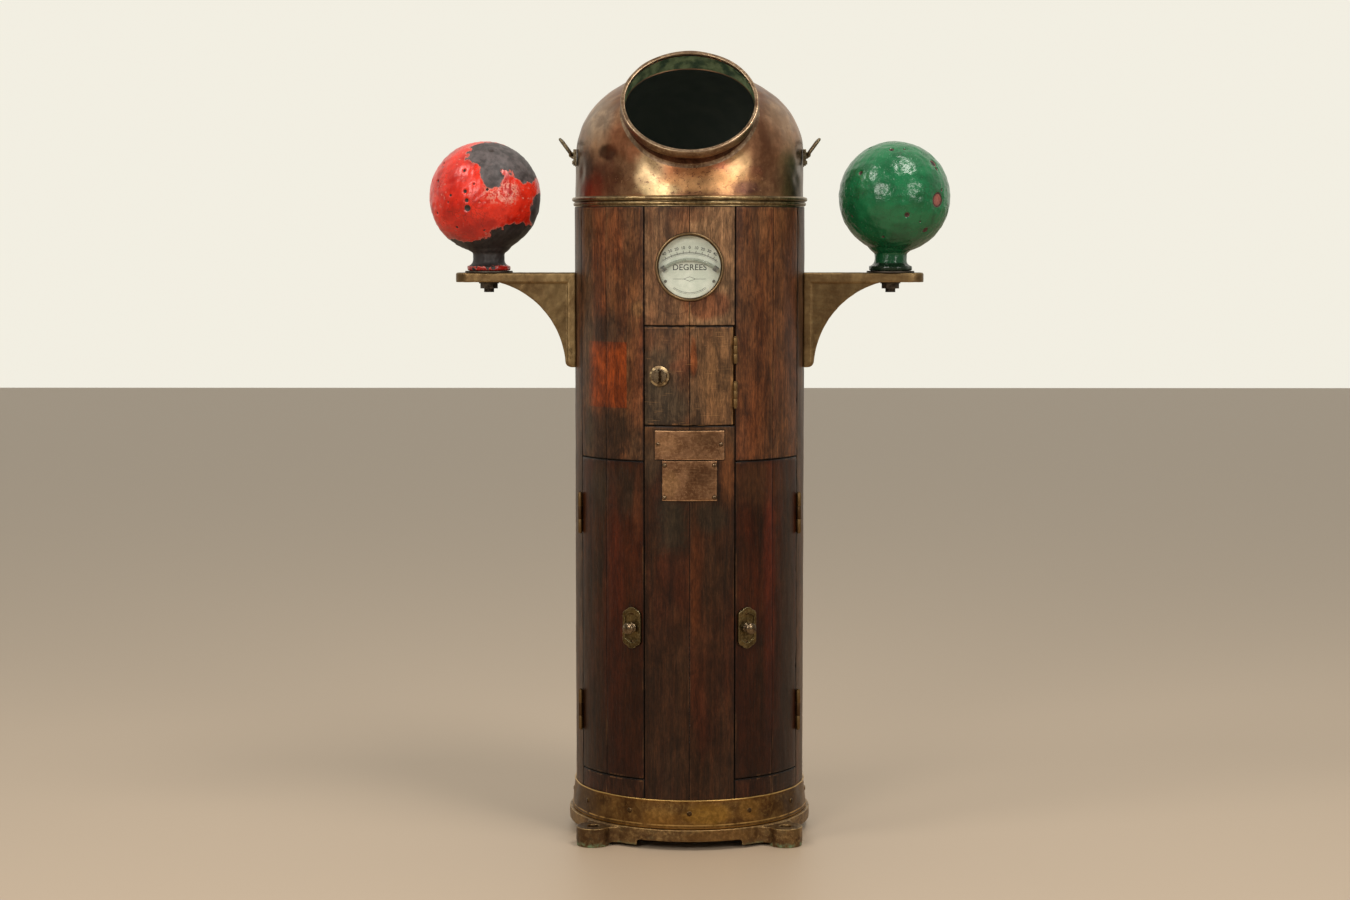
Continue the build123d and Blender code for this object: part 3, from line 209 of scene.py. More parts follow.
def cast(node, voxel, smoothing=2, rough=0.0, wavelength=0.006, seed=1):
    """A copy of a CAD node with softened edges and a slightly uneven skin."""
    mesh = modified(copy_of(node), [("REMESH", {"mode": "VOXEL", "voxel_size": voxel}),
                                    ("SMOOTH", {"iterations": smoothing, "factor": 0.5})])
    if rough:
        points = points_of(mesh)
        skin = ripple(points, wavelength, seed).clip(-1.5, 1.5) - 1.6
        set_points(mesh, points + normals_of(mesh) * (rough * skin)[:, None])
    mesh.shade_smooth()
    return mesh


def rounded(node, width, segments=2):
    """A copy of a CAD node with its sharp edges rounded."""
    mesh = modified(copy_of(node), [("BEVEL", {"width": width, "segments": segments,
                                               "limit_method": "ANGLE", "angle_limit": math.radians(35),
                                               "use_clamp_overlap": True})])
    return smooth_by_angle(mesh, 40)


def joined(meshes):
    """Several meshes as one."""
    work = bmesh.new()
    for mesh in meshes:
        work.from_mesh(mesh)
    result = bpy.data.meshes.new("joined")
    work.to_mesh(result)
    work.free()
    return result


def grid_faces(rows, columns, closed=False, flip=False):
    """Four-sided faces over a grid of points, joined end to end when closed."""
    faces = []
    last = columns if closed else columns - 1
    for i in range(rows - 1):
        for j in range(last):
            k = (j + 1) % columns
            face = (i * columns + j, i * columns + k, (i + 1) * columns + k, (i + 1) * columns + j)
            faces.append(face[::-1] if flip else face)
    return faces


def lathe(profile, centre, axis, across, segments=96, closed=False):
    """A turned mesh: profile is (radius, distance along the axis), centre where the axis starts."""
    axis = np.array(Vector(axis).normalized())
    across = np.array(Vector(across).normalized())
    third = np.cross(axis, across)
    turn = np.linspace(0, 2 * math.pi, segments, endpoint=False)
    ring = np.cos(turn)[:, None] * across + np.sin(turn)[:, None] * third
    profile = list(profile) + ([profile[0]] if closed else [])
    verts = np.concatenate([np.array(centre) + ring * r + axis * t for r, t in profile])
    faces = grid_faces(len(profile), segments, closed=True)
    mesh = edited(make_mesh("lathe", verts, faces), weld, face_outwards)
    mesh.shade_smooth()
    return mesh


def slab(first, last, bottom, top, outer=COLUMN_R, inner=BORE_R, edge=0.0009, side_edge=None,
         uneven=0.00025, chips=0.0009, pitch=0.004, seed=0, extra=None):
    """One curved board between two angles, with worn edges on its outer face."""
    side_edge = edge if side_edge is None else side_edge
    arc = math.radians(last - first) * outer
    height = top - bottom
    steps = np.array([0, 0.1, 0.3, 0.6, 1.0])
    across = np.concatenate([steps * side_edge, np.linspace(side_edge, arc - side_edge,
                                                            max(4, int(arc / pitch)))[1:-1],
                             arc - steps[::-1] * side_edge])
    along = np.concatenate([steps * edge, np.linspace(edge, height - edge,
                                                      max(4, int(height / pitch)))[1:-1],
                            height - steps[::-1] * edge])
    U, V = np.meshgrid(across, along)
    U, V = U.ravel(), V.ravel()
    turn = math.radians(first) + U / outer
    flat = np.stack([np.sin(turn) * outer, -np.cos(turn) * outer, bottom + V], 1)
    side_gap = np.minimum(U, arc - U)
    end_gap = np.minimum(V, height - V)
    a = np.clip(side_edge - side_gap, 0, None) / side_edge
    b = np.clip(edge - end_gap, 0, None) / edge
    fall = (1 - np.sqrt(np.clip(1 - a ** 2 - b ** 2, 0, 1))) * np.where(a > b, side_edge, edge)
    gap = np.minimum(side_gap, end_gap)
    chip = np.clip(ripple(flat, 0.012, seed + 5) * 0.7 + ripple(flat, 0.035, seed + 6) * 0.5 - 0.75, 0, 1)
    fall += chip * chips * np.exp(-gap / 0.0012)
    fall += uneven * (1 + 0.5 * ripple(flat * [1, 1, 0.25], 0.03, seed + 7)
                      + 0.5 * ripple(flat * [1, 1, 0.1], 0.008, seed + 8))
    if extra is not None:
        fall += extra(flat)
    radius = outer - np.clip(fall, 0, None)
    verts = np.stack([np.sin(turn) * radius, -np.cos(turn) * radius, bottom + V], 1)
    columns, rows = len(across), len(along)
    faces = grid_faces(rows, columns)
    smooth = [True] * len(faces)
    base = len(verts)
    back_turn = math.radians(first) + across / outer
    back = [np.stack([np.sin(back_turn) * inner, -np.cos(back_turn) * inner, np.full(columns, z)], 1)
            for z in (bottom, top)]
    verts = np.concatenate([verts] + back)
    last_row = (rows - 1) * columns
    for j in range(columns - 1):
        faces.append((j + 1, j, base + j, base + j + 1))
        faces.append((last_row + j, last_row + j + 1, base + columns + j + 1, base + columns + j))
        faces.append((base + j + 1, base + j, base + columns + j, base + columns + j + 1))
        smooth += [False, False, True]
    faces.append(tuple([base, base + columns][::-1] + [i * columns for i in range(rows)])[::-1])
    right = columns - 1
    faces.append(tuple([base + columns + right, base + right] + [i * columns + right for i in range(rows)]))
    smooth += [False, False]
    return make_mesh("slab", verts, faces, smooth, True)


GLUE_LINE = 0.00001


def staves(first, count, bottom, top, gaps=(0.0001, 0.0001), edges=(0.0012, 0.0005), seed=0, **more):
    """Neighbouring staves of one piece: outer edges worn more than the glued joints."""
    parts = []
    for k in range(count):
        left = gaps[0] if k == 0 else GLUE_LINE
        right = gaps[1] if k == count - 1 else GLUE_LINE
        start = first + k * STAVE + math.degrees(left / COLUMN_R)
        end = first + (k + 1) * STAVE - math.degrees(right / COLUMN_R)
        parts.append(slab(start, end, bottom, top, edge=edges[0], side_edge=edges[1], seed=seed + 31 * k,
                          **more))
    return joined(parts)


def rod_mesh(start, end, radius, segments=32):
    start, end = Vector(start), Vector(end)
    axis = end - start
    side = axis.orthogonal()
    return lathe([(0, 0), (radius, 0), (radius, axis.length), (0, axis.length)], start, axis, side,
                 segments)


def box_mesh(centre, x_dir, z_dir, size):
    x_dir, z_dir = Vector(x_dir).normalized(), Vector(z_dir).normalized()
    y_dir = z_dir.cross(x_dir)
    corners = []
    for sx, sy, sz in ((-1, -1, -1), (1, -1, -1), (1, 1, -1), (-1, 1, -1), (-1, -1, 1), (1, -1, 1),
                       (1, 1, 1), (-1, 1, 1)):
        corners.append(Vector(centre) + x_dir * sx * size[0] / 2 + y_dir * sy * size[1] / 2
                       + z_dir * sz * size[2] / 2)
    faces = [(3, 2, 1, 0), (4, 5, 6, 7), (0, 1, 5, 4), (1, 2, 6, 5), (2, 3, 7, 6), (3, 0, 4, 7)]
    return make_mesh("box", corners, faces, False, True)


def cut(mesh, cutters):
    """The mesh with each cutter mesh taken away."""
    helpers = []
    steps = []
    for cutter in cutters:
        helper = bpy.data.objects.new("cutter", cutter)
        bpy.context.scene.collection.objects.link(helper)
        helpers.append(helper)
        steps.append(("BOOLEAN", {"operation": "DIFFERENCE", "solver": "EXACT", "object": helper}))
    result = modified(mesh, steps)
    for helper in helpers:
        bpy.data.objects.remove(helper)
    return result


def outward(angle):
    return Vector((math.sin(math.radians(angle)), -math.cos(math.radians(angle)), 0))


def on_column(angle, radius, height):
    p = outward(angle) * radius
    return Vector((p.x, p.y, height))


# ---- shader building -----------------------------------------------------------------------
class Wire:
    """A node's output, which can be added, subtracted and multiplied like a number."""

    def __init__(self, shade, socket):
        self.shade = shade
        self.socket = socket

    def __add__(self, other):
        return self.shade.math("ADD", self, other)

    def __radd__(self, other):
        return self.shade.math("ADD", other, self)

    def __mul__(self, other):
        return self.shade.math("MULTIPLY", self, other)

    def __neg__(self):
        return self * -1.0

    def __sub__(self, other):
        return self + -other

    def __rsub__(self, other):
        return other + -self


class Shade:
    """Builds one material's nodes. Values are numbers, colours or wires from other nodes."""

    def __init__(self, name):
        self.material = bpy.data.materials.new(name)
        self.material.use_nodes = True
        self.tree = self.material.node_tree
        self.tree.nodes.clear()
        self.shader = self.tree.nodes.new("ShaderNodeBsdfPrincipled")
        output = self.tree.nodes.new("ShaderNodeOutputMaterial")
        self.tree.links.new(self.shader.outputs[0], output.inputs[0])
        self.point = self.node("ShaderNodeTexCoord", {}, "Object")
        split = self.tree.nodes.new("ShaderNodeSeparateXYZ")
        self.put(split.inputs[0], self.point)
        self.x, self.y, self.z = (Wire(self, socket) for socket in split.outputs)

    def put(self, socket, value):
        if isinstance(value, Wire):
            self.tree.links.new(value.socket, socket)
        elif isinstance(value, tuple) and len(value) == 3 and socket.type == "RGBA":
            socket.default_value = (*value, 1.0)
        else:
            socket.default_value = value

    def node(self, kind, inputs, output=0, **settings):
        made = self.tree.nodes.new(kind)
        for key, value in settings.items():
            setattr(made, key, value)
        for key, value in inputs.items():
            self.put(made.inputs[key], value)
        return Wire(self, made.outputs[output])

    def math(self, op, a, b=0.0, c=0.0, clamp=False):
        return self.node("ShaderNodeMath", {0: a, 1: b, 2: c}, operation=op, use_clamp=clamp)

    def stretch(self, vector, factors):
        return self.node("ShaderNodeVectorMath", {0: vector, 1: factors}, operation="MULTIPLY")

    def shift(self, vector, by):
        return self.node("ShaderNodeVectorMath", {0: vector, 1: by}, operation="ADD")

    def vector(self, x, y, z):
        return self.node("ShaderNodeCombineXYZ", {0: x, 1: y, 2: z})

    def noise(self, vector, scale, detail=3.0, rough=0.5, distort=0.0):
        """Soft noise; scale is how many features fit in a metre, along each axis or all the same."""
        if isinstance(scale, tuple):
            vector, scale = self.stretch(vector, scale), 1.0
        return self.node("ShaderNodeTexNoise", {"Vector": vector, "Scale": scale, "Detail": detail,
                                                "Roughness": rough, "Distortion": distort})

    def cell_edges(self, vector, scale):
        """Distance from the nearest edge of a web of cells."""
        return self.node("ShaderNodeTexVoronoi", {"Vector": vector, "Scale": scale},
                         feature="DISTANCE_TO_EDGE")

    def step(self, value, start, end, to=(0.0, 1.0)):
        """0 before start, 1 after end and smooth between."""
        return self.node("ShaderNodeMapRange", {"Value": value, "From Min": start, "From Max": end,
                                                "To Min": to[0], "To Max": to[1]},
                         interpolation_type="SMOOTHSTEP", clamp=True)

    def mix(self, factor, a, b, blend="MIX"):
        return self.node("ShaderNodeMix", {0: factor, 6: a, 7: b}, 2, data_type="RGBA", blend_type=blend)

    def lerp(self, factor, a, b):
        return self.node("ShaderNodeMix", {0: factor, 2: a, 3: b}, 0, data_type="FLOAT")

    def bump(self, height, distance, strength):
        return self.node("ShaderNodeBump", {"Height": height, "Distance": distance, "Strength": strength})

    def spot(self, centre, reach, soft=0.35, wander=0.25):
        """1 inside an egg about centre, with a ragged soft edge; all in metres."""
        offset = self.shift(self.point, tuple(-c for c in centre))
        scaled = self.stretch(offset, tuple(1 / r for r in reach))
        length = self.node("ShaderNodeVectorMath", {0: scaled}, 1, operation="LENGTH")
        ragged = length + (self.noise(self.point, 60.0, 4.0, 0.6) - 0.5) * (wander * 2)
        return self.step(ragged, 1.0 + soft / 2, 1.0 - soft / 2)

    def finish(self, colour, roughness, normal=None, **others):
        """Join everything to the shader and give back the material."""
        self.put(self.shader.inputs["Base Color"], colour)
        self.put(self.shader.inputs["Roughness"], roughness)
        if normal is not None:
            self.put(self.shader.inputs["Normal"], normal)
        for key, value in others.items():
            self.put(self.shader.inputs[key.replace("_", " ")], value)
        return self.material


def tone(r, g, b):
    """Linear colour from 0-255 display values."""
    def linear(v):
        v /= 255.0
        return v / 12.92 if v <= 0.04045 else ((v + 0.055) / 1.055) ** 2.4
    return (linear(r), linear(g), linear(b))


def dim(colour, factor):
    """The colour made darker or lighter, never past full brightness."""
    return tuple(min(1.0, c * factor) for c in colour)


# ---- wood ----------------------------------------------------------------------------------
INNER_WOOD = tone(96, 66, 44)


def wood(name, light, dark, red, node, grey=0.0, pores=0.6, stains_and_light=(), gloss=(0.34, 0.56), worn=0.35,
         scratches=0.0, contrast=0.36, seed=0.0, coat=0.12):
    """Worn varnished staves. Stains, with a few painted highlights, reflections and shades among them, lie on
    the unrolled column: (kind, place and size, colour, strength).
    """
    s = Shade(name)
    angle = s.math("ARCTAN2", s.x, -s.y)
    around = angle * COLUMN_R
    radius = s.math("SQRT", s.math("POWER", s.x, 2.0) + s.math("POWER", s.y, 2.0))
    count = angle * (1 / math.radians(STAVE))
    index = s.math("FLOOR", count)
    luck = s.node("ShaderNodeTexWhiteNoise", {"W": index + (0.5 + seed)}, 0, noise_dimensions="1D")
    luck_b = s.node("ShaderNodeTexWhiteNoise", {"W": index + (40.5 + seed)}, 0, noise_dimensions="1D")
    grain_at = s.vector(around + luck * 3.0, radius, s.z + luck_b * 5.0)
    broad = s.noise(grain_at, (16.0, 16.0, 3.2), 4.0, 0.55, 0.3)
    drift = s.noise(grain_at, (30.0, 30.0, 2.0), 2.0, 0.5)
    bands = s.math("SINE", around * 520.0 + drift * 26.0)
    streak = s.noise(grain_at, (170.0, 170.0, 5.0), 6.0, 0.68, 0.4)
    fibre = s.noise(grain_at, (700.0, 700.0, 26.0), 5.0, 0.7)
    pore_noise = s.noise(grain_at, (1500.0, 1500.0, 42.0), 2.0, 0.5)
    pore = s.step(pore_noise, 0.60, 0.70)
    patchy = s.noise(grain_at, (48.0, 48.0, 11.0), 5.0, 0.65, 0.6)
    level = bands * 0.025 + streak * 0.40 + fibre * 0.42 + patchy * 0.28
    level = s.step(level, 0.37, 0.74)
    colour = s.mix(level, dark, light)
    reddish = s.step(broad + (luck - 0.5) * 0.25, 0.42, 0.68)
    colour = s.mix(reddish * 0.55, colour, s.mix(level, dim(red, 0.6), red))
    dirt = s.step(s.noise(grain_at, (42.0, 42.0, 9.0), 5.0, 0.6, 0.5), 0.50, 0.72)
    colour = s.mix(dirt * 0.42, colour, dim(dark, 0.35))
    shade_each = s.lerp(luck_b, 0.86, 1.10)
    colour = s.mix(1.0, colour, s.vector(shade_each, shade_each, shade_each), "MULTIPLY")
    if grey:
        film = s.step(s.noise(grain_at, (24.0, 24.0, 7.0), 4.0, 0.6), 0.40, 0.66)
        colour = s.mix(film * grey, colour, tone(104, 90, 72))
    for kind, shape, stain_or_light_tone, strength in stains_and_light:
        if kind == "box":
            (a0, a1), (z0, z1), soft = shape
            wob = (s.noise(s.point, 190.0, 3.0) - 0.5) * soft
            da = s.math("ABSOLUTE", around - (a0 + a1) / 2) - (a1 - a0) / 2
            dz = s.math("ABSOLUTE", s.z - (z0 + z1) / 2) - (z1 - z0) / 2
            mask = s.step(s.math("MAXIMUM", da, dz) + wob, soft / 2, -soft / 2)
        else:
            a, z, ra, rz, soft, wander = shape
            da = (around - a) * (1 / ra)
            dz = (s.z - z) * (1 / rz)
            far = s.math("SQRT", s.math("POWER", da, 2.0) + s.math("POWER", dz, 2.0))
            wob = (s.noise(s.stretch(s.point, (1.0, 1.0, 0.5)), 55.0, 5.0, 0.62) - 0.5) * (wander * 2)
            if kind == "ring":
                far = 1.0 + s.math("ABSOLUTE", far - 1.0)
                mask = s.step(far + wob * 0.2, 1.0 + soft, 1.0)
            else:
                mask = s.step(far + wob, 1.0 + soft / 2, 1.0 - soft / 2)
        textured = s.mix(level * 0.55, dim(stain_or_light_tone, 0.55), dim(stain_or_light_tone, 1.35))
        colour = s.mix(mask * strength, colour, textured)
    offset = count - s.math("FLOOR", count)
    edge_gap = s.math("MINIMUM", offset, 1.0 - offset) * STAVE_ARC
    wear_noise = s.noise(s.point, (60.0, 60.0, 9.0), 4.0, 0.65)
    grit = s.noise(grain_at, (520.0, 520.0, 95.0), 5.0, 0.75)
    grit = s.step(grit, 0.36, 0.64, (1.0 - contrast, 1.0 + contrast * 0.8))
    colour = s.mix(1.0, colour, s.vector(grit, grit, grit), "MULTIPLY")
    smudge = s.noise(s.point, (44.0, 44.0, 20.0), 5.0, 0.7, 0.8)
    smudge = s.step(smudge, 0.36, 0.64, (1.0 - contrast * 1.15, 1.0 + contrast * 0.9))
    colour = s.mix(1.0, colour, s.vector(smudge, smudge, smudge), "MULTIPLY")
    wear = s.step(edge_gap, 0.0030, 0.0012) * s.step(wear_noise, 0.50, 0.62)
    pair = (count + 1.0) * 0.5
    pair = pair - s.math("FLOOR", pair)
    panel_gap = s.math("MINIMUM", pair, 1.0 - pair) * (2 * STAVE_ARC)
    ends = s.math("MINIMUM", s.z - low(node).z, high(node).z - s.z)
    rim = s.math("MINIMUM", panel_gap, ends)
    wear = s.math("MAXIMUM", wear, s.step(rim, 0.0042, 0.0020) * s.step(wear_noise, 0.52, 0.60))
    colour = s.mix(wear * worn, colour, tone(158, 116, 80))
    # Painted shade: darker within about 11 mm of the panel gaps and the piece's ends, broken up by noise.
    gap_shade = s.step(rim, 0.011, 0.001) * s.step(s.noise(s.point, 70.0, 4.0, 0.6), 0.35, 0.65)
    colour = s.mix(gap_shade * 0.5, colour, tone(26, 16, 11))
    ragged = (s.noise(s.point, 240.0, 3.0) - 0.5) * 0.0012
    joint = s.step(edge_gap + ragged, 0.0011, 0.0005)
    colour = s.mix(joint * 0.85, colour, tone(22, 13, 9))
    crevice = s.step(rim + ragged, 0.0020, 0.0012)
    colour = s.mix(crevice * 0.9, colour, tone(12, 8, 6))
    colour = s.mix(pore * pores, colour, dim(dark, 0.30))
    chips = s.step(s.noise(s.point, 260.0, 5.0, 0.7), 0.70, 0.76)
    colour = s.mix(chips * 0.35, colour, tone(146, 110, 78))
    if scratches:
        lines = s.noise(s.vector(around, radius, s.z), (26.0, 26.0, 620.0), 3.0, 0.55)
        where = s.step(s.noise(s.point, 34.0, 3.0), 0.47, 0.60)
        lines = s.step(lines, 0.60, 0.68) * where
        colour = s.mix(lines * scratches, colour, tone(170, 132, 92))
    inside = s.step(radius, COLUMN_R - 0.002, COLUMN_R - 0.0035)
    colour = s.mix(inside, colour, s.mix(level, dim(INNER_WOOD, 0.5), INNER_WOOD))
    polish = s.noise(s.point, (40.0, 40.0, 10.0), 4.0, 0.6)
    colour = s.mix(1.0, colour, (1.0, 0.91, 0.76), "MULTIPLY")
    rough = s.lerp(polish, gloss[0], gloss[1])
    rough = rough + inside * 0.25 + joint * 0.4
    height = fibre * 0.5 - pore * 0.9 + streak * 0.6
    height = height + s.noise(s.point, 90.0, 3.0) * 0.7
    normal = s.bump(height, 0.00035, 0.55)
    return s.finish(colour, rough, normal, Specular_IOR_Level=0.18, Coat_Weight=coat * 0.2,
                    Coat_Roughness=0.28)


# ---- metals --------------------------------------------------------------------------------
def metal(name, base, dark, bright, rough=(0.30, 0.52), verdigris=0.0, spots=(), blotch=26.0, pits=0.5,
          cast_bump=0.0002, edge_wear=0.7, low_green=None, brushed=None,
          mottle=0.55, recess=None, painted_highlight_heights=(), specks=None):
    """Old metal: smoky and bright patches, spots of colour (some of them painted highlights and shade), pits,
    worn edges and green in its hollows, with painted shade in a recess and painted highlight lines at given
    heights.
    """
    s = Shade(name)
    broad = s.noise(s.point, blotch, 5.0, 0.62, 0.6)
    fine = s.noise(s.point, blotch * 6, 5.0, 0.65, 0.2)
    film = s.step(broad, 0.34, 0.66)
    colour = s.mix(film, dark, base)
    colour = s.mix(s.step(fine, 0.46, 0.68) * mottle, colour, bright)
    smoke = s.step(s.noise(s.stretch(s.point, (1.0, 1.0, 0.6)), blotch * 2.2, 6.0, 0.7, 1.0), 0.52, 0.70)
    colour = s.mix(smoke * 0.55, colour, dim(dark, 0.5))
    for centre, reach, soft, wander, spot_colour, strength in spots:
        colour = s.mix(s.spot(centre, reach, soft, wander) * strength, colour,
                       s.mix(s.step(fine, 0.35, 0.7), dim(spot_colour, 0.6), spot_colour))
    # Painted shade: the recessed web, where |y| is under recess, is darkened.
    if recess is not None:
        recess_shade = s.step(s.math("ABSOLUTE", s.y), recess, recess - 0.0010)
        colour = s.mix(recess_shade * 0.38, colour, dim(dark, 0.45))
    # Painted highlight: a bright line at each of these heights, broken by noise, along edges that are also
    # rubbed bright.
    for height in painted_highlight_heights:
        line = s.step(s.math("ABSOLUTE", s.z - height), 0.0013, 0.0004)
        line = line * s.step(s.noise(s.point, 60.0, 4.0, 0.6), 0.30, 0.55)
        colour = s.mix(line * 0.85, colour, dim(bright, 1.35))
    if specks is not None:
        centre, reach, speck_colour = specks
        area = s.spot(centre, reach, 1.2, 0.4)
        marks = s.step(s.noise(s.stretch(s.point, (1.0, 1.0, 1.5)), 170.0, 5.0, 0.7, 0.8), 0.57, 0.62)
        colour = s.mix(area * marks * 0.75, colour, speck_colour)
        flecks = s.step(s.noise(s.shift(s.point, (0.7, 0.2, 0.4)), 150.0, 5.0, 0.7, 0.5), 0.60, 0.67)
        colour = s.mix(area * flecks * 0.6, colour, dim(bright, 1.25))
    pit = s.step(s.noise(s.point, 420.0, 3.0, 0.6), 0.66, 0.72)
    colour = s.mix(pit * pits, colour, tone(34, 22, 14))
    edge = s.step(s.node("ShaderNodeNewGeometry", {}, "Pointiness"), 0.515, 0.56)
    colour = s.mix(edge * edge_wear, colour, bright)
    green_mask = None
    if verdigris:
        cavity = s.step(s.node("ShaderNodeNewGeometry", {}, "Pointiness"), 0.50, 0.46)
        green_noise = s.step(s.noise(s.point, 95.0, 6.0, 0.7), 0.53, 0.66)
        green_mask = s.math("MULTIPLY", green_noise, s.lerp(cavity, verdigris * 0.6,
                                                            min(1.0, verdigris * 2)), clamp=True)
    if low_green is not None:
        patches = s.step(s.noise(s.point, 120.0, 5.0, 0.7), 0.42, 0.60)
        lower = s.step(s.z, low_green, low_green - 0.008) * patches
        green_mask = lower if green_mask is None else s.math("MAXIMUM", green_mask, lower)
    roughness = s.lerp(s.noise(s.point, blotch * 3, 5.0, 0.65), rough[0], rough[1])
    roughness = roughness + pit * 0.2
    amount = 1.0
    if green_mask is not None:
        green = s.mix(s.noise(s.point, 300.0, 4.0), tone(70, 92, 62), tone(132, 152, 112))
        colour = s.mix(green_mask, colour, green)
        roughness = s.lerp(green_mask, roughness, 0.85)
        amount = s.lerp(green_mask, amount, 0.05)
    height = s.noise(s.point, 700.0, 3.0, 0.6) + s.noise(s.point, 180.0, 4.0, 0.6) * 1.6
    height = height - pit * 1.2
    if brushed is not None:
        marks = s.noise(s.point, brushed, 3.0, 0.6)
        height = height + marks * 0.8
        colour = s.mix(s.step(marks, 0.58, 0.70) * 0.35, colour, bright)
    normal = s.bump(height, cast_bump, 0.6)
    return s.finish(colour, roughness, normal, Metallic=amount)


# ---- paint on the iron spheres -------------------------------------------------------------
def painted(name, paint, paint_dark, bare, bare_light, under, gloss, lumps, chip_tone, chip_amount,
            scuff=None, flange=None):
    """Chipped paint: the mesh carries a 'bare' value, above zero where the paint is gone."""
    s = Shade(name)
    field = s.node("ShaderNodeAttribute", {}, "Fac", attribute_name="bare")
    rim = s.node("ShaderNodeAttribute", {}, "Fac", attribute_name="deep")
    ragged = field + (s.noise(s.point, 240.0, 5.0, 0.7) - 0.5) * 0.42
    gone = s.step(ragged, -0.015, 0.015)
    primer = s.step(ragged, -0.10, -0.02) * (1.0 - gone)
    coat = s.mix(s.step(s.noise(s.point, 30.0, 4.0, 0.6, 0.4), 0.40, 0.68), paint, paint_dark)
    grime = s.step(s.noise(s.point, 75.0, 6.0, 0.7, 0.6), 0.55, 0.74)
    coat = s.mix(grime * 0.40, coat, dim(paint_dark, 0.32))
    crazed = s.cell_edges(s.shift(s.point, (0.3, 0.1, 0.2)), 120.0)
    crack = s.step(crazed, 0.035, 0.008) * s.step(s.noise(s.point, 22.0, 3.0), 0.54, 0.62)
    coat = s.mix(crack * 0.65, coat, tone(40, 16, 12))
    flake = s.step(s.noise(s.point, 170.0, 5.0, 0.72), 0.60, 0.64)
    flake = flake * s.step(s.noise(s.point, 16.0, 2.0), 0.50, 0.60)
    coat = s.mix(flake * chip_amount, coat, chip_tone)
    if scuff is not None:
        swirl = s.step(s.noise(s.point, 120.0, 5.0, 0.6, 2.5), 0.46, 0.56)
        coat = s.mix(s.spot(scuff, (0.030, 0.06, 0.019), 0.5, 0.5) * swirl * 0.9, coat, chip_tone)
    # Painted shade: the paint is darkened towards the bottom of the sphere.
    lower_shade = s.step(s.z, 0.985, 0.925)
    coat = s.mix(lower_shade * 0.55, coat, dim(paint_dark, 0.25))
    coat = s.mix(primer * 0.8, coat, under)
    fleck = s.step(s.noise(s.point, 520.0, 3.0, 0.6), 0.655, 0.69)
    coat = s.mix(fleck * 0.8, coat, tone(32, 20, 16))
    metal_tone = s.mix(s.step(s.noise(s.point, 60.0, 6.0, 0.7), 0.36, 0.66), bare, bare_light)
    metal_tone = s.mix(s.step(s.noise(s.point, 130.0, 5.0, 0.7), 0.60, 0.70) * 0.5, metal_tone,
                       tone(104, 52, 34))
    metal_tone = s.mix(s.step(rim, 0.2, 0.8), metal_tone, tone(44, 30, 26))
    # Painted shade: the bare iron is darkened towards the bottom too.
    metal_tone = s.mix(s.step(s.z, 1.02, 0.955) * 0.78, metal_tone, dim(bare, 0.30))
    colour = s.mix(gone, coat, metal_tone)
    if flange is not None:
        colour = s.mix(s.step(s.z, 0.9095, 0.9075) * 0.85, colour, flange)
    coat_rough = s.lerp(s.noise(s.point, 60.0, 4.0, 0.6), gloss[0], gloss[1]) + flake * 0.2
    roughness = s.lerp(gone, coat_rough, s.lerp(s.noise(s.point, 90.0, 4.0), 0.42, 0.66))
    height = s.noise(s.point, 130.0, 3.0, 0.55) * lumps + s.noise(s.point, 480.0, 3.0) * 0.35
    height = height - gone * 1.3 - flake * 0.7 - fleck * 0.5
    normal = s.bump(height, 0.0006, 0.6)
    return s.finish(colour, roughness, normal, Coat_Weight=0.0)


def plain(name, colour, dark, rough, scale=80.0, bump=0.0001):
    """A quiet surface with slight mottling and bump."""
    s = Shade(name)
    mottle = s.step(s.noise(s.point, scale, 5.0, 0.6), 0.35, 0.68)
    shade = s.mix(mottle, dark, colour)
    roughness = s.lerp(s.noise(s.point, scale * 1.7, 4.0, 0.6), rough[0], rough[1])
    normal = s.bump(s.noise(s.point, scale * 7, 3.0, 0.6), bump, 0.6)
    return s.finish(shade, roughness, normal)


def clear_glass(name, tint, rough, specular, alpha):
    """Thin glass shown as a mostly clear sheet with a reflection."""
    s = Shade(name)
    smear = s.step(s.noise(s.point, 38.0, 5.0, 0.65, 0.5), 0.50, 0.75)
    roughness = s.lerp(smear, rough, rough + 0.10)
    normal = s.bump(s.noise(s.point, 24.0, 2.0), 0.00006, 0.3)
    return s.finish(tint, roughness, normal, Alpha=alpha, Specular_IOR_Level=specular)


# ---- materials ----------------------------------------------------------------------------------
upper_left_wood = wood("upper_left_wood", tone(122, 82, 52), tone(50, 31, 19), tone(120, 60, 34),
                       "upper_left_staves", grey=0.25, seed=3.0, stains_and_light=(
    ("box", ((-0.190, -0.1025), (0.686, 0.788), 0.0022), tone(146, 66, 22), 0.92),
    ("egg", (-0.1450, 0.806, 0.044, 0.026, 1.1, 0.9), tone(44, 38, 32), 0.70),
    ("egg", (-0.1450, 0.640, 0.062, 0.046, 0.9, 0.5), tone(46, 36, 27), 0.85),
    ("egg", (-0.0800, 0.840, 0.014, 0.012, 0.7, 0.5), tone(132, 100, 66), 0.55),
    # Painted reflection: a greyish sheen along the panel's outer edge, z 0.60 to 1.00.
    ("box", ((-0.215, -0.178), (0.600, 1.000), 0.016), tone(72, 64, 50), 0.55)))
upper_right_wood = wood("upper_right_wood", tone(118, 76, 46), tone(56, 33, 19), tone(114, 60, 36),
                        "upper_right_staves", grey=0.12, seed=8.0, stains_and_light=(
    # Painted reflection: a greyer band near the panel's outer edge.
    ("egg", (0.190, 0.90, 0.020, 0.25, 0.9, 0.4), tone(84, 54, 42), 0.5),
    ("egg", (0.118, 0.70, 0.020, 0.16, 1.0, 0.4), tone(94, 50, 26), 0.5)))
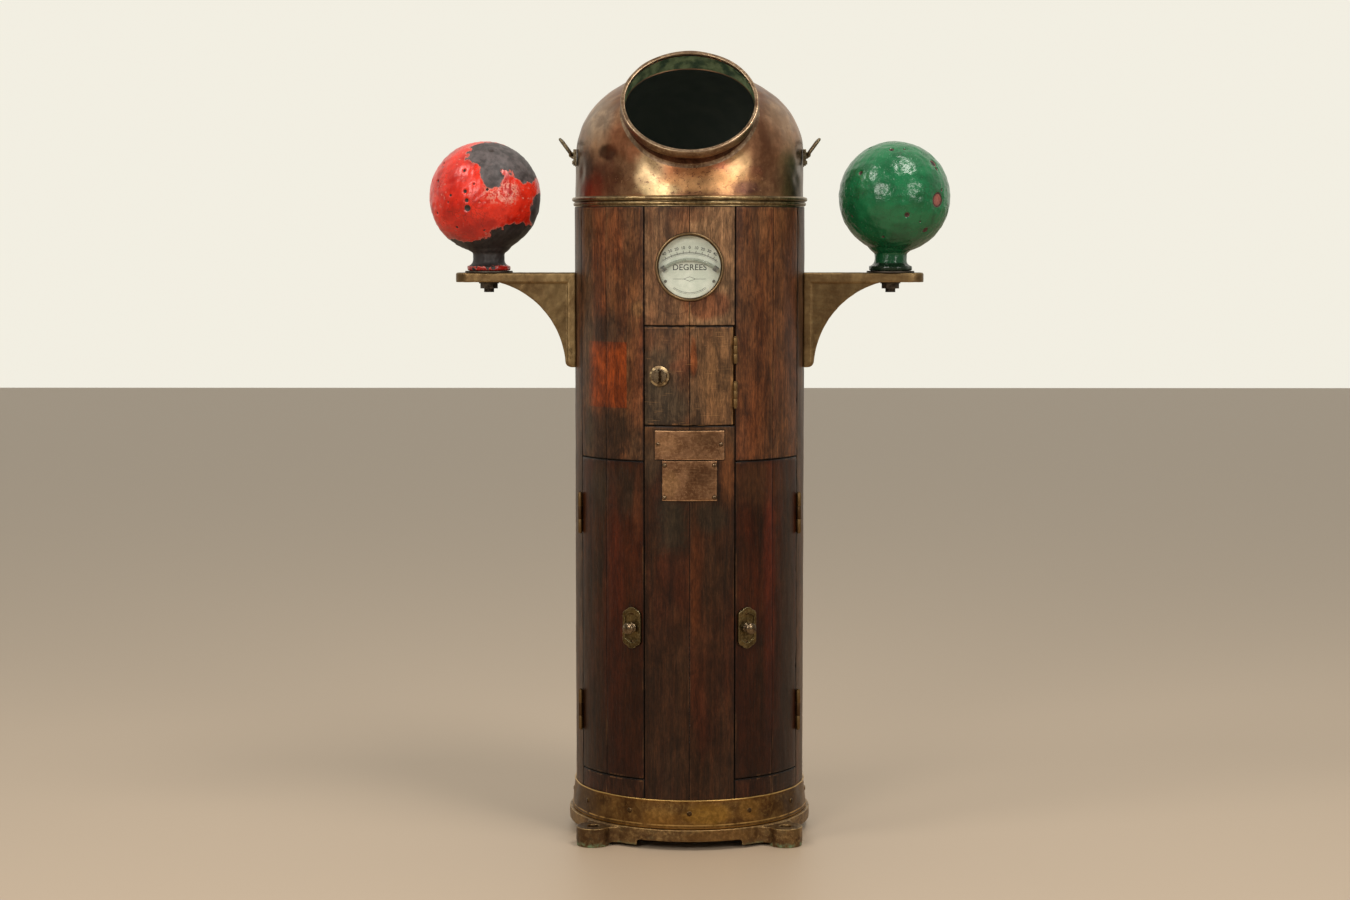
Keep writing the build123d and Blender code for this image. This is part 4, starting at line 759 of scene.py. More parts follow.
centre_top_wood = wood("centre_top_wood", tone(158, 124, 94), tone(74, 50, 34), tone(136, 88, 58),
                       "centre_top_staves", grey=0.30, pores=0.75, worn=0.25,
                       seed=12.0, coat=0.06, gloss=(0.42, 0.62), stains_and_light=(
    ("egg", (0.028, 0.846, 0.034, 0.022, 0.6, 0.4), tone(122, 68, 42), 0.7),
    ("ring", (-0.022, 0.866, 0.036, 0.034, 0.07, 0.3), tone(60, 36, 24), 0.35),
    ("egg", (0.0, 0.984, 0.030, 0.012, 0.9, 0.5), tone(104, 66, 44), 0.6),
    # Painted highlight: a pale line on the joint at the middle, z 0.816 to 0.846.
    ("box", ((-0.0010, 0.0010), (0.816, 0.846), 0.0012), tone(206, 164, 120), 0.85)))
small_door_wood = wood("small_door_wood", tone(124, 90, 64), tone(62, 44, 32), tone(118, 70, 46),
                       "small_door", grey=0.2, seed=17.0, scratches=0.55,
                       worn=0.6, coat=0.08, gloss=(0.38, 0.58), stains_and_light=(
    ("egg", (-0.048, 0.690, 0.052, 0.042, 0.8, 0.35), tone(70, 62, 50), 0.85),
    ("egg", (-0.052, 0.748, 0.032, 0.034, 0.8, 0.45), tone(86, 74, 58), 0.65),
    ("egg", (-0.012, 0.752, 0.018, 0.010, 0.8, 0.6), tone(110, 66, 46), 0.6),
    ("egg", (0.006, 0.764, 0.0060, 0.030, 0.6, 0.6), tone(138, 74, 36), 0.75),
    ("egg", (0.050, 0.735, 0.030, 0.070, 1.0, 0.3), tone(128, 94, 62), 0.55),
    ("box", ((0.0648, 0.0700), (0.655, 0.820), 0.004), tone(168, 128, 84), 0.55)))
centre_lower_wood = wood("centre_lower_wood", tone(66, 40, 24), tone(30, 18, 12), tone(82, 36, 18),
                         "centre_lower_staves", worn=0.14, contrast=0.26, grey=0.05, pores=0.35, seed=23.0,
                         gloss=(0.28, 0.46), stains_and_light=(
    ("box", ((-0.0450, -0.0030), (0.470, 0.545), 0.030), tone(54, 50, 40), 0.7),
    ("egg", (0.030, 0.52, 0.028, 0.022, 0.9, 0.5), tone(48, 44, 36), 0.6),
    ("box", ((-0.076, 0.076), (0.606, 0.664), 0.012), tone(104, 74, 50), 0.75),
    ("egg", (-0.062, 0.600, 0.014, 0.030, 0.8, 0.4), tone(80, 66, 52), 0.6),
    ("egg", (0.062, 0.585, 0.012, 0.045, 0.8, 0.4), tone(116, 72, 42), 0.6),
    ("egg", (0.008, 0.42, 0.010, 0.10, 1.0, 0.4), tone(98, 52, 26), 0.5),
    # Painted shade: dark lines just outside the edges of the two copper patches.
    ("box", ((-0.0560, 0.0560), (0.6068, 0.6548), 0.0020), tone(26, 17, 12), 0.85),
    ("box", ((-0.0444, 0.0444), (0.5472, 0.6108), 0.0020), tone(26, 17, 12), 0.85)))
left_door_wood = wood("left_door_wood", tone(62, 35, 17), tone(26, 14, 6), tone(76, 28, 10), "left_door",
                      contrast=0.24, grey=0.04, pores=0.25, seed=29.0,
                      gloss=(0.26, 0.44), worn=0.2, stains_and_light=(
    ("egg", (-0.125, 0.560, 0.060, 0.040, 1.0, 0.4), tone(50, 44, 36), 0.65),
    ("egg", (-0.1300, 0.330, 0.020, 0.22, 1.0, 0.35), tone(78, 32, 18), 0.65),
    ("egg", (-0.125, 0.130, 0.080, 0.190, 1.3, 0.4), tone(34, 19, 11), 0.55),
    ("egg", (-0.083, 0.540, 0.008, 0.050, 0.9, 0.4), tone(92, 52, 32), 0.6)))
right_door_wood = wood("right_door_wood", tone(64, 35, 17), tone(28, 14, 6), tone(78, 28, 10), "right_door",
                       contrast=0.24, grey=0.03, pores=0.25, seed=37.0,
                       gloss=(0.26, 0.44), worn=0.2, stains_and_light=(
    ("egg", (0.138, 0.40, 0.012, 0.24, 1.0, 0.35), tone(92, 36, 20), 0.7),
    ("egg", (0.185, 0.35, 0.020, 0.30, 1.0, 0.4), tone(48, 36, 26), 0.6),
    ("egg", (0.125, 0.130, 0.080, 0.190, 1.3, 0.4), tone(34, 19, 11), 0.55),
    ("egg", (0.110, 0.57, 0.050, 0.035, 1.0, 0.4), tone(78, 52, 34), 0.5)))
sill_wood = wood("sill_wood", tone(62, 40, 26), tone(34, 21, 14), tone(70, 34, 20), "door_sills", pores=0.3,
                 seed=41.0, gloss=(0.3, 0.5))
back_wood = wood("back_wood", tone(88, 60, 42), tone(44, 28, 19), tone(88, 46, 30), "back_staves",
                 grey=0.15, pores=0.4, seed=53.0, gloss=(0.32, 0.52))
board_wood = wood("board_wood", tone(120, 88, 62), tone(70, 48, 32), tone(110, 70, 46), "back_staves",
                  pores=0.4, seed=61.0, gloss=(0.55, 0.75), coat=0.0)

cast_brass = metal("cast_brass", tone(136, 108, 72), tone(92, 68, 46), tone(178, 146, 96),
                   rough=(0.34, 0.55), pits=0.55,
                   verdigris=0.15, low_green=0.010, cast_bump=0.0003, spots=(
    ((-0.17, -0.16, 0.02), (0.05, 0.05, 0.02), 0.8, 0.4, tone(84, 60, 42), 0.6),
    ((0.05, -0.19, 0.02), (0.06, 0.05, 0.012), 0.8, 0.4, tone(150, 112, 66), 0.6)))
bracket_brass = metal("bracket_brass", tone(140, 116, 80), tone(108, 84, 56), tone(176, 148, 100),
                      rough=(0.36, 0.54), pits=0.35,
                      verdigris=0.05, cast_bump=0.00015, mottle=0.22, blotch=14.0, recess=0.0345)
band_brass = metal("band_brass", tone(132, 98, 56), tone(86, 60, 36), tone(178, 142, 84),
                   rough=(0.30, 0.48), pits=0.4, cast_bump=0.00012,
                   edge_wear=0.9, spots=(
    # Painted highlights: the first three pale patches on the band's front.
    ((0.03, -0.19, 0.055), (0.035, 0.03, 0.016), 0.8, 0.45, tone(186, 140, 66), 0.75),
    ((-0.045, -0.19, 0.050), (0.028, 0.03, 0.014), 0.8, 0.45, tone(170, 124, 62), 0.6),
    ((0.095, -0.17, 0.060), (0.018, 0.03, 0.018), 0.8, 0.45, tone(172, 128, 66), 0.6),
    # Painted shade: the last two darker patches on the band's left and right sides.
    ((-0.17, -0.09, 0.055), (0.05, 0.06, 0.03), 0.9, 0.4, tone(66, 46, 30), 0.7),
    ((0.17, -0.09, 0.055), (0.05, 0.06, 0.03), 0.9, 0.4, tone(70, 50, 30), 0.7)),
                    painted_highlight_heights=(0.0768, 0.0385, 0.0335), mottle=0.35)
ring_brass = metal("ring_brass", tone(140, 118, 84), tone(84, 68, 48), tone(196, 172, 124),
                   rough=(0.26, 0.42), pits=0.3, edge_wear=0.5,
                   verdigris=0.10, cast_bump=0.00008, blotch=40.0)
bezel_brass = metal("bezel_brass", tone(156, 130, 106), tone(104, 78, 60), tone(206, 184, 148),
                    rough=(0.26, 0.44), pits=0.3,
                    cast_bump=0.00012, blotch=30.0, edge_wear=0.35, mottle=0.35)
fitting_brass = metal("fitting_brass", tone(112, 94, 60), tone(78, 64, 40), tone(214, 196, 150),
                      rough=(0.24, 0.40), pits=0.2,
                      cast_bump=0.00008, blotch=50.0, edge_wear=1.0, verdigris=0.05, mottle=0.15)
rose_brass = metal("rose_brass", tone(104, 82, 58), tone(66, 50, 36), tone(184, 158, 118),
                   rough=(0.28, 0.44), pits=0.2, cast_bump=0.00006, blotch=50.0, edge_wear=1.0, mottle=0.15)
knob_brass = metal("knob_brass", tone(128, 108, 84), tone(74, 60, 46), tone(200, 182, 148),
                   rough=(0.20, 0.36), pits=0.2, cast_bump=0.00008, blotch=50.0, edge_wear=0.8, mottle=0.15)
hinge_brass = metal("hinge_brass", tone(74, 53, 34), tone(36, 25, 17), tone(136, 108, 70),
                    rough=(0.38, 0.56), cast_bump=0.0001, blotch=90.0,
                    spots=(((0.0, 0.0, 0.33), (0.4, 0.4, 0.26), 0.3, 0.0, tone(34, 24, 17), 0.92),))
hinge_bronze = metal("hinge_bronze", tone(60, 42, 28), tone(30, 20, 14), tone(92, 68, 44),
                     rough=(0.40, 0.58), cast_bump=0.0001, blotch=90.0)
screw_brass = metal("screw_brass", tone(72, 52, 34), tone(38, 26, 18), tone(140, 112, 74), rough=(0.3, 0.5),
                    cast_bump=0.0001, blotch=90.0)
handle_brass = metal("handle_brass", tone(110, 98, 80), tone(66, 56, 42), tone(176, 160, 124),
                     rough=(0.30, 0.48), cast_bump=0.0001, blotch=80.0, verdigris=0.1)
inner_brass = metal("inner_brass", tone(150, 118, 66), tone(96, 72, 42), tone(196, 162, 98),
                    rough=(0.28, 0.46), cast_bump=0.0001)
COPPER_MARKS_AND_LIGHT = (
    # Painted highlights: the first two pale patches, high on the left and right of the hood.
    ((-0.145, -0.085, 1.135), (0.030, 0.06, 0.040), 1.2, 0.4, tone(196, 176, 152), 0.5),
    ((0.140, -0.085, 1.130), (0.026, 0.06, 0.040), 1.2, 0.4, tone(180, 158, 132), 0.4),
    ((0.045, -0.170, 1.062), (0.026, 0.05, 0.010), 0.8, 0.6, tone(196, 112, 84), 0.6),
    ((0.095, -0.150, 1.046), (0.018, 0.04, 0.012), 0.8, 0.6, tone(186, 116, 86), 0.55),
    ((-0.020, -0.178, 1.044), (0.014, 0.04, 0.012), 0.8, 0.6, tone(168, 92, 66), 0.5),
    ((-0.085, -0.155, 1.075), (0.014, 0.05, 0.014), 0.8, 0.6, tone(196, 122, 84), 0.5),
    # Painted highlights: the next four pale patches, at the front of the hood's lower part.
    ((0.030, -0.178, 1.034), (0.075, 0.06, 0.017), 0.9, 0.5, tone(226, 170, 116), 0.85),
    ((-0.062, -0.165, 1.050), (0.022, 0.05, 0.030), 0.9, 0.5, tone(226, 196, 150), 0.75),
    ((-0.050, -0.170, 1.022), (0.030, 0.05, 0.010), 0.8, 0.5, tone(244, 214, 160), 0.75),
    ((0.075, -0.155, 1.062), (0.018, 0.05, 0.022), 0.9, 0.5, tone(214, 178, 128), 0.6),
    ((0.000, -0.180, 1.052), (0.040, 0.05, 0.014), 0.9, 0.5, tone(190, 124, 80), 0.6),
    ((0.085, -0.155, 1.026), (0.022, 0.04, 0.010), 0.7, 0.6, tone(96, 54, 70), 0.5),
    ((-0.125, -0.125, 1.080), (0.018, 0.03, 0.012), 0.6, 0.3, tone(62, 36, 26), 0.85),
    ((-0.130, -0.125, 1.040), (0.035, 0.05, 0.030), 1.0, 0.4, tone(98, 50, 36), 0.7),
    ((-0.105, -0.140, 1.100), (0.022, 0.05, 0.026), 1.0, 0.5, tone(140, 78, 50), 0.6),
    ((0.120, -0.130, 1.090), (0.030, 0.05, 0.050), 1.0, 0.4, tone(132, 84, 60), 0.5),
    # Painted shade: the last two darker patches, on the hood's left and right sides.
    ((-0.170, 0.0, 1.05), (0.03, 0.12, 0.06), 1.0, 0.4, tone(90, 78, 58), 0.7),
    ((0.170, 0.0, 1.05), (0.03, 0.12, 0.06), 1.0, 0.4, tone(92, 80, 58), 0.7))
copper = metal("copper", tone(160, 118, 86), tone(112, 76, 56), tone(200, 152, 112), rough=(0.27, 0.46),
               pits=0.45, cast_bump=0.0001, blotch=9.0, spots=COPPER_MARKS_AND_LIGHT, edge_wear=0.25, mottle=0.30,
               specks=((0.0, -0.175, 1.035), (0.13, 0.11, 0.036), tone(78, 42, 46)))
neck_copper = metal("neck_copper", tone(92, 62, 48), tone(50, 32, 25), tone(140, 104, 78),
                    rough=(0.24, 0.42), pits=0.4, cast_bump=0.00012, blotch=30.0, edge_wear=0.5, mottle=0.2)
hoop_brass = metal("hoop_brass", tone(70, 50, 36), tone(26, 18, 13), tone(168, 140, 102),
                   rough=(0.26, 0.44), pits=0.3, cast_bump=0.0001, blotch=60.0, mottle=0.25, edge_wear=0.6)
RIVETS = [(math.degrees(side * across / COLUMN_R), z)
          for across, z in ((0.049, 0.632), (0.0386, 0.600), (0.0386, 0.550)) for side in (-1, 1)]
# Painted shade: a dark ring round the foot of each rivet head; the four entries after them are marks on the
# copper.
RIVET_MARKS = tuple((on_column(angle, COLUMN_R, z), (0.0040, 0.0040, 0.0040), 0.5, 0.2,
                     tone(44, 30, 22), 0.8) for angle, z in RIVETS) + (
    ((0.020, -0.183, 0.585), (0.020, 0.02, 0.014), 0.9, 0.6, tone(96, 66, 46), 0.6),
    ((-0.030, -0.183, 0.570), (0.014, 0.02, 0.020), 0.9, 0.6, tone(178, 136, 92), 0.45),
    ((-0.035, -0.182, 0.632), (0.020, 0.02, 0.014), 0.9, 0.6, tone(166, 124, 86), 0.45),
    ((0.030, -0.182, 0.640), (0.022, 0.02, 0.010), 0.9, 0.6, tone(100, 72, 50), 0.5))
patch_copper = metal("patch_copper", tone(140, 104, 76), tone(104, 72, 50), tone(182, 142, 104),
                     rough=(0.36, 0.56), pits=0.5,
                     cast_bump=0.0002, blotch=38.0, brushed=(40.0, 40.0, 900.0), edge_wear=0.9, mottle=0.4,
                     painted_highlight_heights=(0.6087, 0.5453, 0.6527), spots=RIVET_MARKS)
rivet_copper = metal("rivet_copper", tone(84, 62, 46), tone(44, 30, 22), tone(206, 178, 140),
                     rough=(0.22, 0.4), cast_bump=0.0001, blotch=200.0)
iron = metal("iron", tone(60, 54, 48), tone(34, 30, 27), tone(104, 96, 86), rough=(0.42, 0.66), pits=0.6,
             cast_bump=0.0002, blotch=60.0)
magnet_iron = metal("magnet_iron", tone(104, 104, 108), tone(66, 64, 64), tone(150, 150, 152),
                    rough=(0.36, 0.52), cast_bump=0.0001)
verdigris_inside = plain("verdigris_inside", tone(150, 170, 118), tone(50, 78, 52), (0.6, 0.9), 60.0,
                         0.0003)
sooty_inside = plain("sooty_inside", tone(44, 46, 36), tone(22, 24, 20), (0.6, 0.9), 30.0, 0.0003)
red_paint = painted("red_paint", tone(222, 46, 26), tone(176, 24, 12), tone(50, 44, 44), tone(92, 82, 82),
                    tone(206, 110, 96),
                    (0.22, 0.36), 0.8, tone(222, 138, 120), 0.8, scuff=(-0.2955, -0.083, 1.020))
green_paint = painted("green_paint", tone(26, 106, 64), tone(18, 86, 50), tone(122, 66, 56),
                      tone(160, 96, 84), tone(50, 34, 26),
                      (0.16, 0.28), 2.6, tone(52, 130, 88), 0.2, flange=tone(22, 32, 22))
dial_paint = plain("dial_paint", tone(224, 228, 214), tone(198, 206, 190), (0.5, 0.7), 40.0, 0.00005)
ink = plain("ink", tone(26, 26, 22), tone(16, 16, 14), (0.5, 0.7))
card_paint = plain("card_paint", tone(226, 220, 196), tone(204, 196, 168), (0.55, 0.75), 50.0, 0.00005)
dark_glass = clear_glass("dark_glass", tone(20, 26, 20), 0.02, 0.35, 0.16)
dial_glass = clear_glass("dial_glass", tone(226, 232, 222), 0.02, 0.4, 0.06)
vial_glass = clear_glass("vial_glass", tone(150, 160, 140), 0.03, 0.5, 0.30)
bubble_look = clear_glass("bubble_look", tone(236, 240, 226), 0.04, 0.5, 0.55)


def dress(material, *nodes):
    """Give shown CAD nodes their material."""
    for node in nodes:
        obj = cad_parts[node]
        obj.data.materials.clear()
        obj.data.materials.append(material)


# ---- wooden column -------------------------------------------------------------------------
LOWER_HINGES = [(0.200, 0.062), (0.515, 0.062)]


def hinge_boxes(angle, hinges):
    parts = []
    for z, length in hinges:
        parts.append(box_mesh(on_column(angle, 0.1745, z), outward(angle + 90), (0, 0, 1),
                              (0.0030, 0.0262, length + 0.0006)))
    return parts


def span(node):
    a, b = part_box(node)
    return a.z, b.z


back = staves(67.5, 10, *span("back_staves"), seed=100, pitch=0.006)
back = cut(back, hinge_boxes(67.5, LOWER_HINGES) + hinge_boxes(-67.5, LOWER_HINGES))
piece("column_back", back, "stand", "stave_wood", back_wood, "back_staves")

panel = staves(-67.5, 2, *span("upper_left_staves"), gaps=(0.0004, 0.0008), edges=(0.0014, 0.0009), seed=11)
piece("panel_upper_left", panel, "stand", "stave_wood", upper_left_wood, "upper_left_staves")
panel = staves(22.5, 2, *span("upper_right_staves"), gaps=(0.0008, 0.0004), edges=(0.0014, 0.0009), seed=21)
piece("panel_upper_right", panel, "stand", "stave_wood", upper_right_wood, "upper_right_staves")


def screw_holes(points):
    """Two small old screw holes near the top of the panel."""
    depth = np.zeros(len(points))
    for x in (-0.0085, 0.0060):
        gap = np.sqrt((points[:, 0] - x) ** 2 + (points[:, 2] - 0.9845) ** 2)
        depth += 0.0016 * np.clip(1 - gap / 0.0022, 0, 1)
    return depth


dial_middle = middle("clinometer_bezel")
CLINOMETER_BORE_R = 0.0529
bore = rod_mesh((0, -0.1609, dial_middle.z), (0, -0.21, dial_middle.z), CLINOMETER_BORE_R, 128)
panel = staves(-22.5, 2, *span("centre_top_staves"), gaps=(0.0006, 0.0006), edges=(0.0012, 0.0006), seed=33,
               pitch=0.0022, extra=screw_holes)
piece("panel_centre_top", smooth_by_angle(cut(panel, [bore])), "stand", "stave_wood", centre_top_wood,
      "centre_top_staves")

panel = staves(-22.5, 2, *span("centre_lower_staves"), gaps=(0.0006, 0.0006), edges=(0.0010, 0.0005), seed=45)
piece("panel_centre_lower", panel, "stand", "stave_wood", centre_lower_wood, "centre_lower_staves")

sills = joined([slab(a + 0.03, a + 44.97, *span("door_sills"), edge=0.0008, seed=57 + k)
                for k, a in enumerate((-67.5, 22.5))])
piece("door_sill_boards", sills, "stand", "stave_wood", sill_wood, "door_sills")

z0, z1 = span("small_door")
door = staves(-22.5, 2, z0, z1, gaps=(0.0008, 0.0032), edges=(0.0015, 0.0007), seed=63, pitch=0.0025,
              chips=0.0016)
door = joined([door] + [slab(-15, 15, a, a + 0.022, BORE_R, BATTEN_R, seed=66)
                        for a in (z0 + 0.012, z1 - 0.034)])
KNOB_ANGLE, KNOB_Z = -14.4, 0.737
CATCH_ANGLE, CATCH_Z = 28.5, 0.3455


def spindle_hole(angle, z):
    """The hole that a knob's spindle goes through."""
    return rod_mesh(on_column(angle, 0.14, z), on_column(angle, 0.19, z), SPINDLE_HOLE_R)


door = cut(door, [spindle_hole(KNOB_ANGLE, KNOB_Z)])
piece("small_door_board", door, "small_door_body", "stave_wood", small_door_wood, "small_door")


def lower_door(side, material, seed):
    z0, z1 = span("left_door")
    first = -67.5 if side < 0 else 22.5
    gaps = (0.0010, 0.0008) if side < 0 else (0.0008, 0.0010)
    door = staves(first, 2, z0, z1, gaps=gaps, edges=(0.0014, 0.0006), seed=seed)
    battens = [slab(side * 45 - 17, side * 45 + 17, a, a + 0.03, BORE_R, BATTEN_R, seed=seed)
               for a in (z0 + 0.04, z1 - 0.07)]
    door = joined([door] + battens)
    door = cut(door, hinge_boxes(side * 67.5, LOWER_HINGES) + [spindle_hole(side * CATCH_ANGLE, CATCH_Z)])
    name = "left" if side < 0 else "right"
    piece(f"{name}_door_board", door, f"{name}_door_body", "stave_wood", material, f"{name}_door")


lower_door(-1, left_door_wood, 71)
lower_door(1, right_door_wood, 83)
dress(board_wood, "column_boards", "chamber_board", "magnet_racks")

# ---- foot, band, rings ---------------------------------------------------------------------
piece("foot_ring", cast("foot_casting", 0.0011, 3, 0.00012, 0.008, 5), "stand", "cast_brass", cast_brass,
      "foot_casting")
z0, z1 = span("base_band")
band_out = high("base_band").x
band_profile = [(COLUMN_R + 0.0001, z0), (band_out - 0.0008, z0), (band_out, z0 + 0.0008),
                (band_out - 0.0002, z0 + 0.003), (band_out - 0.0006, z0 + 0.006)]
band_profile += [(band_out - 0.0006 - 0.0033 * t, z0 + 0.006 + (z1 - z0 - 0.0095) * t)
                 for t in np.linspace(0.05, 1, 24)]
band_profile += [(band_out - 0.0034, z1 - 0.0022), (band_out - 0.0033, z1 - 0.001),
                 (band_out - 0.0037, z1 - 0.0002), (band_out - 0.0043, z1), (COLUMN_R + 0.0001, z1)]
band = lathe(band_profile, (0, 0, 0), (0, 0, 1), (1, 0, 0), 360)
p = points_of(band)
r = np.hypot(p[:, 0], p[:, 1])
dent = 0.00035 * (1 + ripple(p * [1, 1, 0.7], 0.035, 9)) * (r > COLUMN_R + 0.001)
p[:, :2] *= ((r - dent) / r)[:, None]
set_points(band, p)
piece("base_hoop", band, "stand", "brass", band_brass, "base_band")


def screw_head(centre, axis, radius, height, slot_turn):
    """A low domed head with a slot."""
    axis = Vector(axis).normalized()
    side = Matrix.Rotation(slot_turn, 3, axis) @ axis.orthogonal().normalized()
    profile = [(radius, 0.0), (radius, height * 0.25)]
    profile += [(radius * math.cos(t), height * (0.25 + 0.75 * math.sin(t)))
                for t in np.linspace(0.25, 1.45, 7)]
    profile += [(0, height)]
    dome = lathe([(0, 0)] + profile, centre, axis, side, 28)
    slot = box_mesh(Vector(centre) + axis * height, side, axis, (radius * 2.4, radius * 0.26, height * 0.7))
    return smooth_by_angle(cut(dome, [slot]), 40)


BAND_SCREW_R, BAND_SCREW_Z, RING_SCREW_R = 0.1866, 0.057, 0.168
heads = []
for k in range(12):
    heads.append(screw_head(on_column(k * 30, BAND_SCREW_R, BAND_SCREW_Z), outward(k * 30),
                            0.0042, 0.0019, 0.7 * k + 0.4))
for k in range(8):
    turn = math.radians(45 * k + 11.25)
    centre = (RING_SCREW_R * math.cos(turn), RING_SCREW_R * math.sin(turn), RING_TOP - 0.0016)
    heads.append(screw_head(centre, (0, 0, 1), 0.0035, 0.0013, k))
piece("column_screw_heads", joined(heads), "stand", "brass_fittings", screw_brass, "column_screws")

dress(ring_brass, "top_ring")
z0, z1 = span("hood_rim")
rim_out = high("hood_rim").x
bead = 0.0033
rim_profile = [(HOOD_R + 0.0002, z0), (rim_out - bead - 0.0005, z0)]
rim_profile += [(rim_out - bead + bead * math.cos(t), z0 + 0.0037 + bead * math.sin(t))
                for t in np.linspace(-1.45, 1.75, 14)]
rim_profile += [(rim_out - bead - 0.0009, z1 - 0.0004), (HOOD_R + 0.0004, z1),
                (HOOD_R + 0.0002, z1 - 0.0004)]
rim = lathe(rim_profile, (0, 0, 0), (0, 0, 1), (1, 0, 0), 300, closed=True)
p = points_of(rim)
r = np.hypot(p[:, 0], p[:, 1])
p[:, :2] *= ((r - 0.0002 * (1 + ripple(p, 0.05, 4)) * (r > HOOD_R + 0.001)) / r)[:, None]
set_points(rim, p)
piece("hood_bead", rim, "hood", "brass", ring_brass, "hood_rim")


# ---- copper hood ---------------------------------------------------------------------------
def dome_value(points, skin=0.0):
    """Below 1 inside the hood's outline and above 1 outside it."""
    r2 = (points[:, 0] ** 2 + points[:, 1] ** 2) / (HOOD_R + skin) ** 2
    up = np.clip(points[:, 2] - DOME_BASE, 0, None) / (DOME_HEIGHT + skin)
    return r2 + up ** 2


HOLE_R = 0.1012
AXIS, UP, SIDE, CENTRE = (np.array(v) for v in (WINDOW_AXIS, WINDOW_UP, WINDOW_SIDE, WINDOW_CENTRE))


def meet_dome(turn, radius, skin=0.0):
    """Distance along the window's axis at which a tube of this radius meets the hood."""
    way = np.cos(turn)[:, None] * SIDE + np.sin(turn)[:, None] * UP
    near_t = np.full(len(turn), -0.14)
    far_t = np.full(len(turn), 0.02)
    for _ in range(40):
        t = (near_t + far_t) / 2
        outside = dome_value(CENTRE + way * radius + t[:, None] * AXIS, skin) > 1
        far_t = np.where(outside, t, far_t)
        near_t = np.where(outside, near_t, t)
    return near_t


def dent_depth(p):
    """How far in the old copper is pressed at each point."""
    depth = 0.0006 * (1 + ripple(p, 0.11, 41)) + 0.00022 * (1 + ripple(p, 0.035, 42))
    depth += 0.0022 * near(p, (0.176, -0.045, 1.058), (0.02, 0.030, 0.016))
    depth += 0.0026 * near(p, (0.172, -0.060, 1.078), (0.02, 0.020, 0.010))
    depth += 0.0016 * near(p, (0.168, -0.070, 1.040), (0.02, 0.020, 0.012))
    depth += 0.0018 * near(p, (-0.170, -0.065, 1.050), (0.02, 0.020, 0.018))
    depth += 0.0012 * near(p, (-0.125, -0.130, 1.080), (0.018, 0.02, 0.012))
    depth += 0.0010 * near(p, (-0.055, -0.172, 1.048), (0.018, 0.02, 0.022))
    depth += 0.0010 * near(p, (0.070, -0.166, 1.058), (0.016, 0.02, 0.020))
    depth += 0.0008 * near(p, (0.015, -0.180, 1.040), (0.020, 0.02, 0.010))
    return depth


def hood_mesh():
    turns = np.linspace(0, 2 * math.pi, 400, endpoint=False)
    skirt = [(HOOD_R, z) for z in np.linspace(HOOD_BOTTOM, DOME_BASE, 22)]
    crown = [(HOOD_R * math.cos(t), DOME_BASE + DOME_HEIGHT * math.sin(t))
             for t in np.linspace(0, math.pi / 2, 66)[1:-1]]
    profile = skirt + crown
    verts = np.array([(r * math.cos(a), r * math.sin(a), z) for r, z in profile for a in turns])
    rows, columns = len(profile), len(turns)
    gap = verts - CENTRE
    along = gap @ AXIS
    sideways = np.stack([gap @ SIDE, gap @ UP], 1)
    rho = np.hypot(sideways[:, 0], sideways[:, 1])
    inside = (rho < HOLE_R) & (along > -0.14)
    faces = [f for f in grid_faces(rows, columns, closed=True) if not all(inside[list(f)])]
    used = np.zeros(len(verts), bool)
    for f in faces:
        used[list(f)] = True
    move = np.where(inside & used)[0]
    turn = np.arctan2(sideways[move, 1], sideways[move, 0])
    t = meet_dome(turn, HOLE_R)
    way = np.cos(turn)[:, None] * SIDE + np.sin(turn)[:, None] * UP
    verts[move] = CENTRE + way * HOLE_R + t[:, None] * AXIS
    pole = len(verts)
    verts = np.concatenate([verts, [[0, 0, DOME_BASE + DOME_HEIGHT]]])
    last = (rows - 1) * columns
    faces += [(last + j, last + (j + 1) % columns, pole) for j in range(columns)]
    mesh = make_mesh("hood", verts, faces)
    p, n = points_of(mesh), normals_of(mesh)
    gap = p - CENTRE
    rho = np.hypot(gap @ SIDE, gap @ UP)
    fade = np.clip((rho - HOLE_R) / 0.012, 0, 1) * np.clip((p[:, 2] - HOOD_BOTTOM) / 0.006, 0, 1)
    set_points(mesh, p - n * (dent_depth(p) * fade)[:, None])
    mesh = modified(edited(mesh, drop_loose_points, weld),
                    [("SOLIDIFY", {"thickness": COPPER_SHEET, "offset": -1.0})])
    return smooth_by_angle(mesh, 60)


hood = hood_mesh()
shown_hood = piece("hood_copper", hood, "hood", "copper", copper, "hood_shell")
shown_hood.data.materials.append(sooty_inside)
for polygon in hood.polygons:
    c = np.array(polygon.center)
    lean = np.array((c[0], c[1], (c[2] - DOME_BASE) * HOOD_R ** 2 / DOME_HEIGHT ** 2
                     if c[2] > DOME_BASE else 0.0))
    if np.dot(lean, np.array(polygon.normal)) < 0:
        polygon.material_index = 1


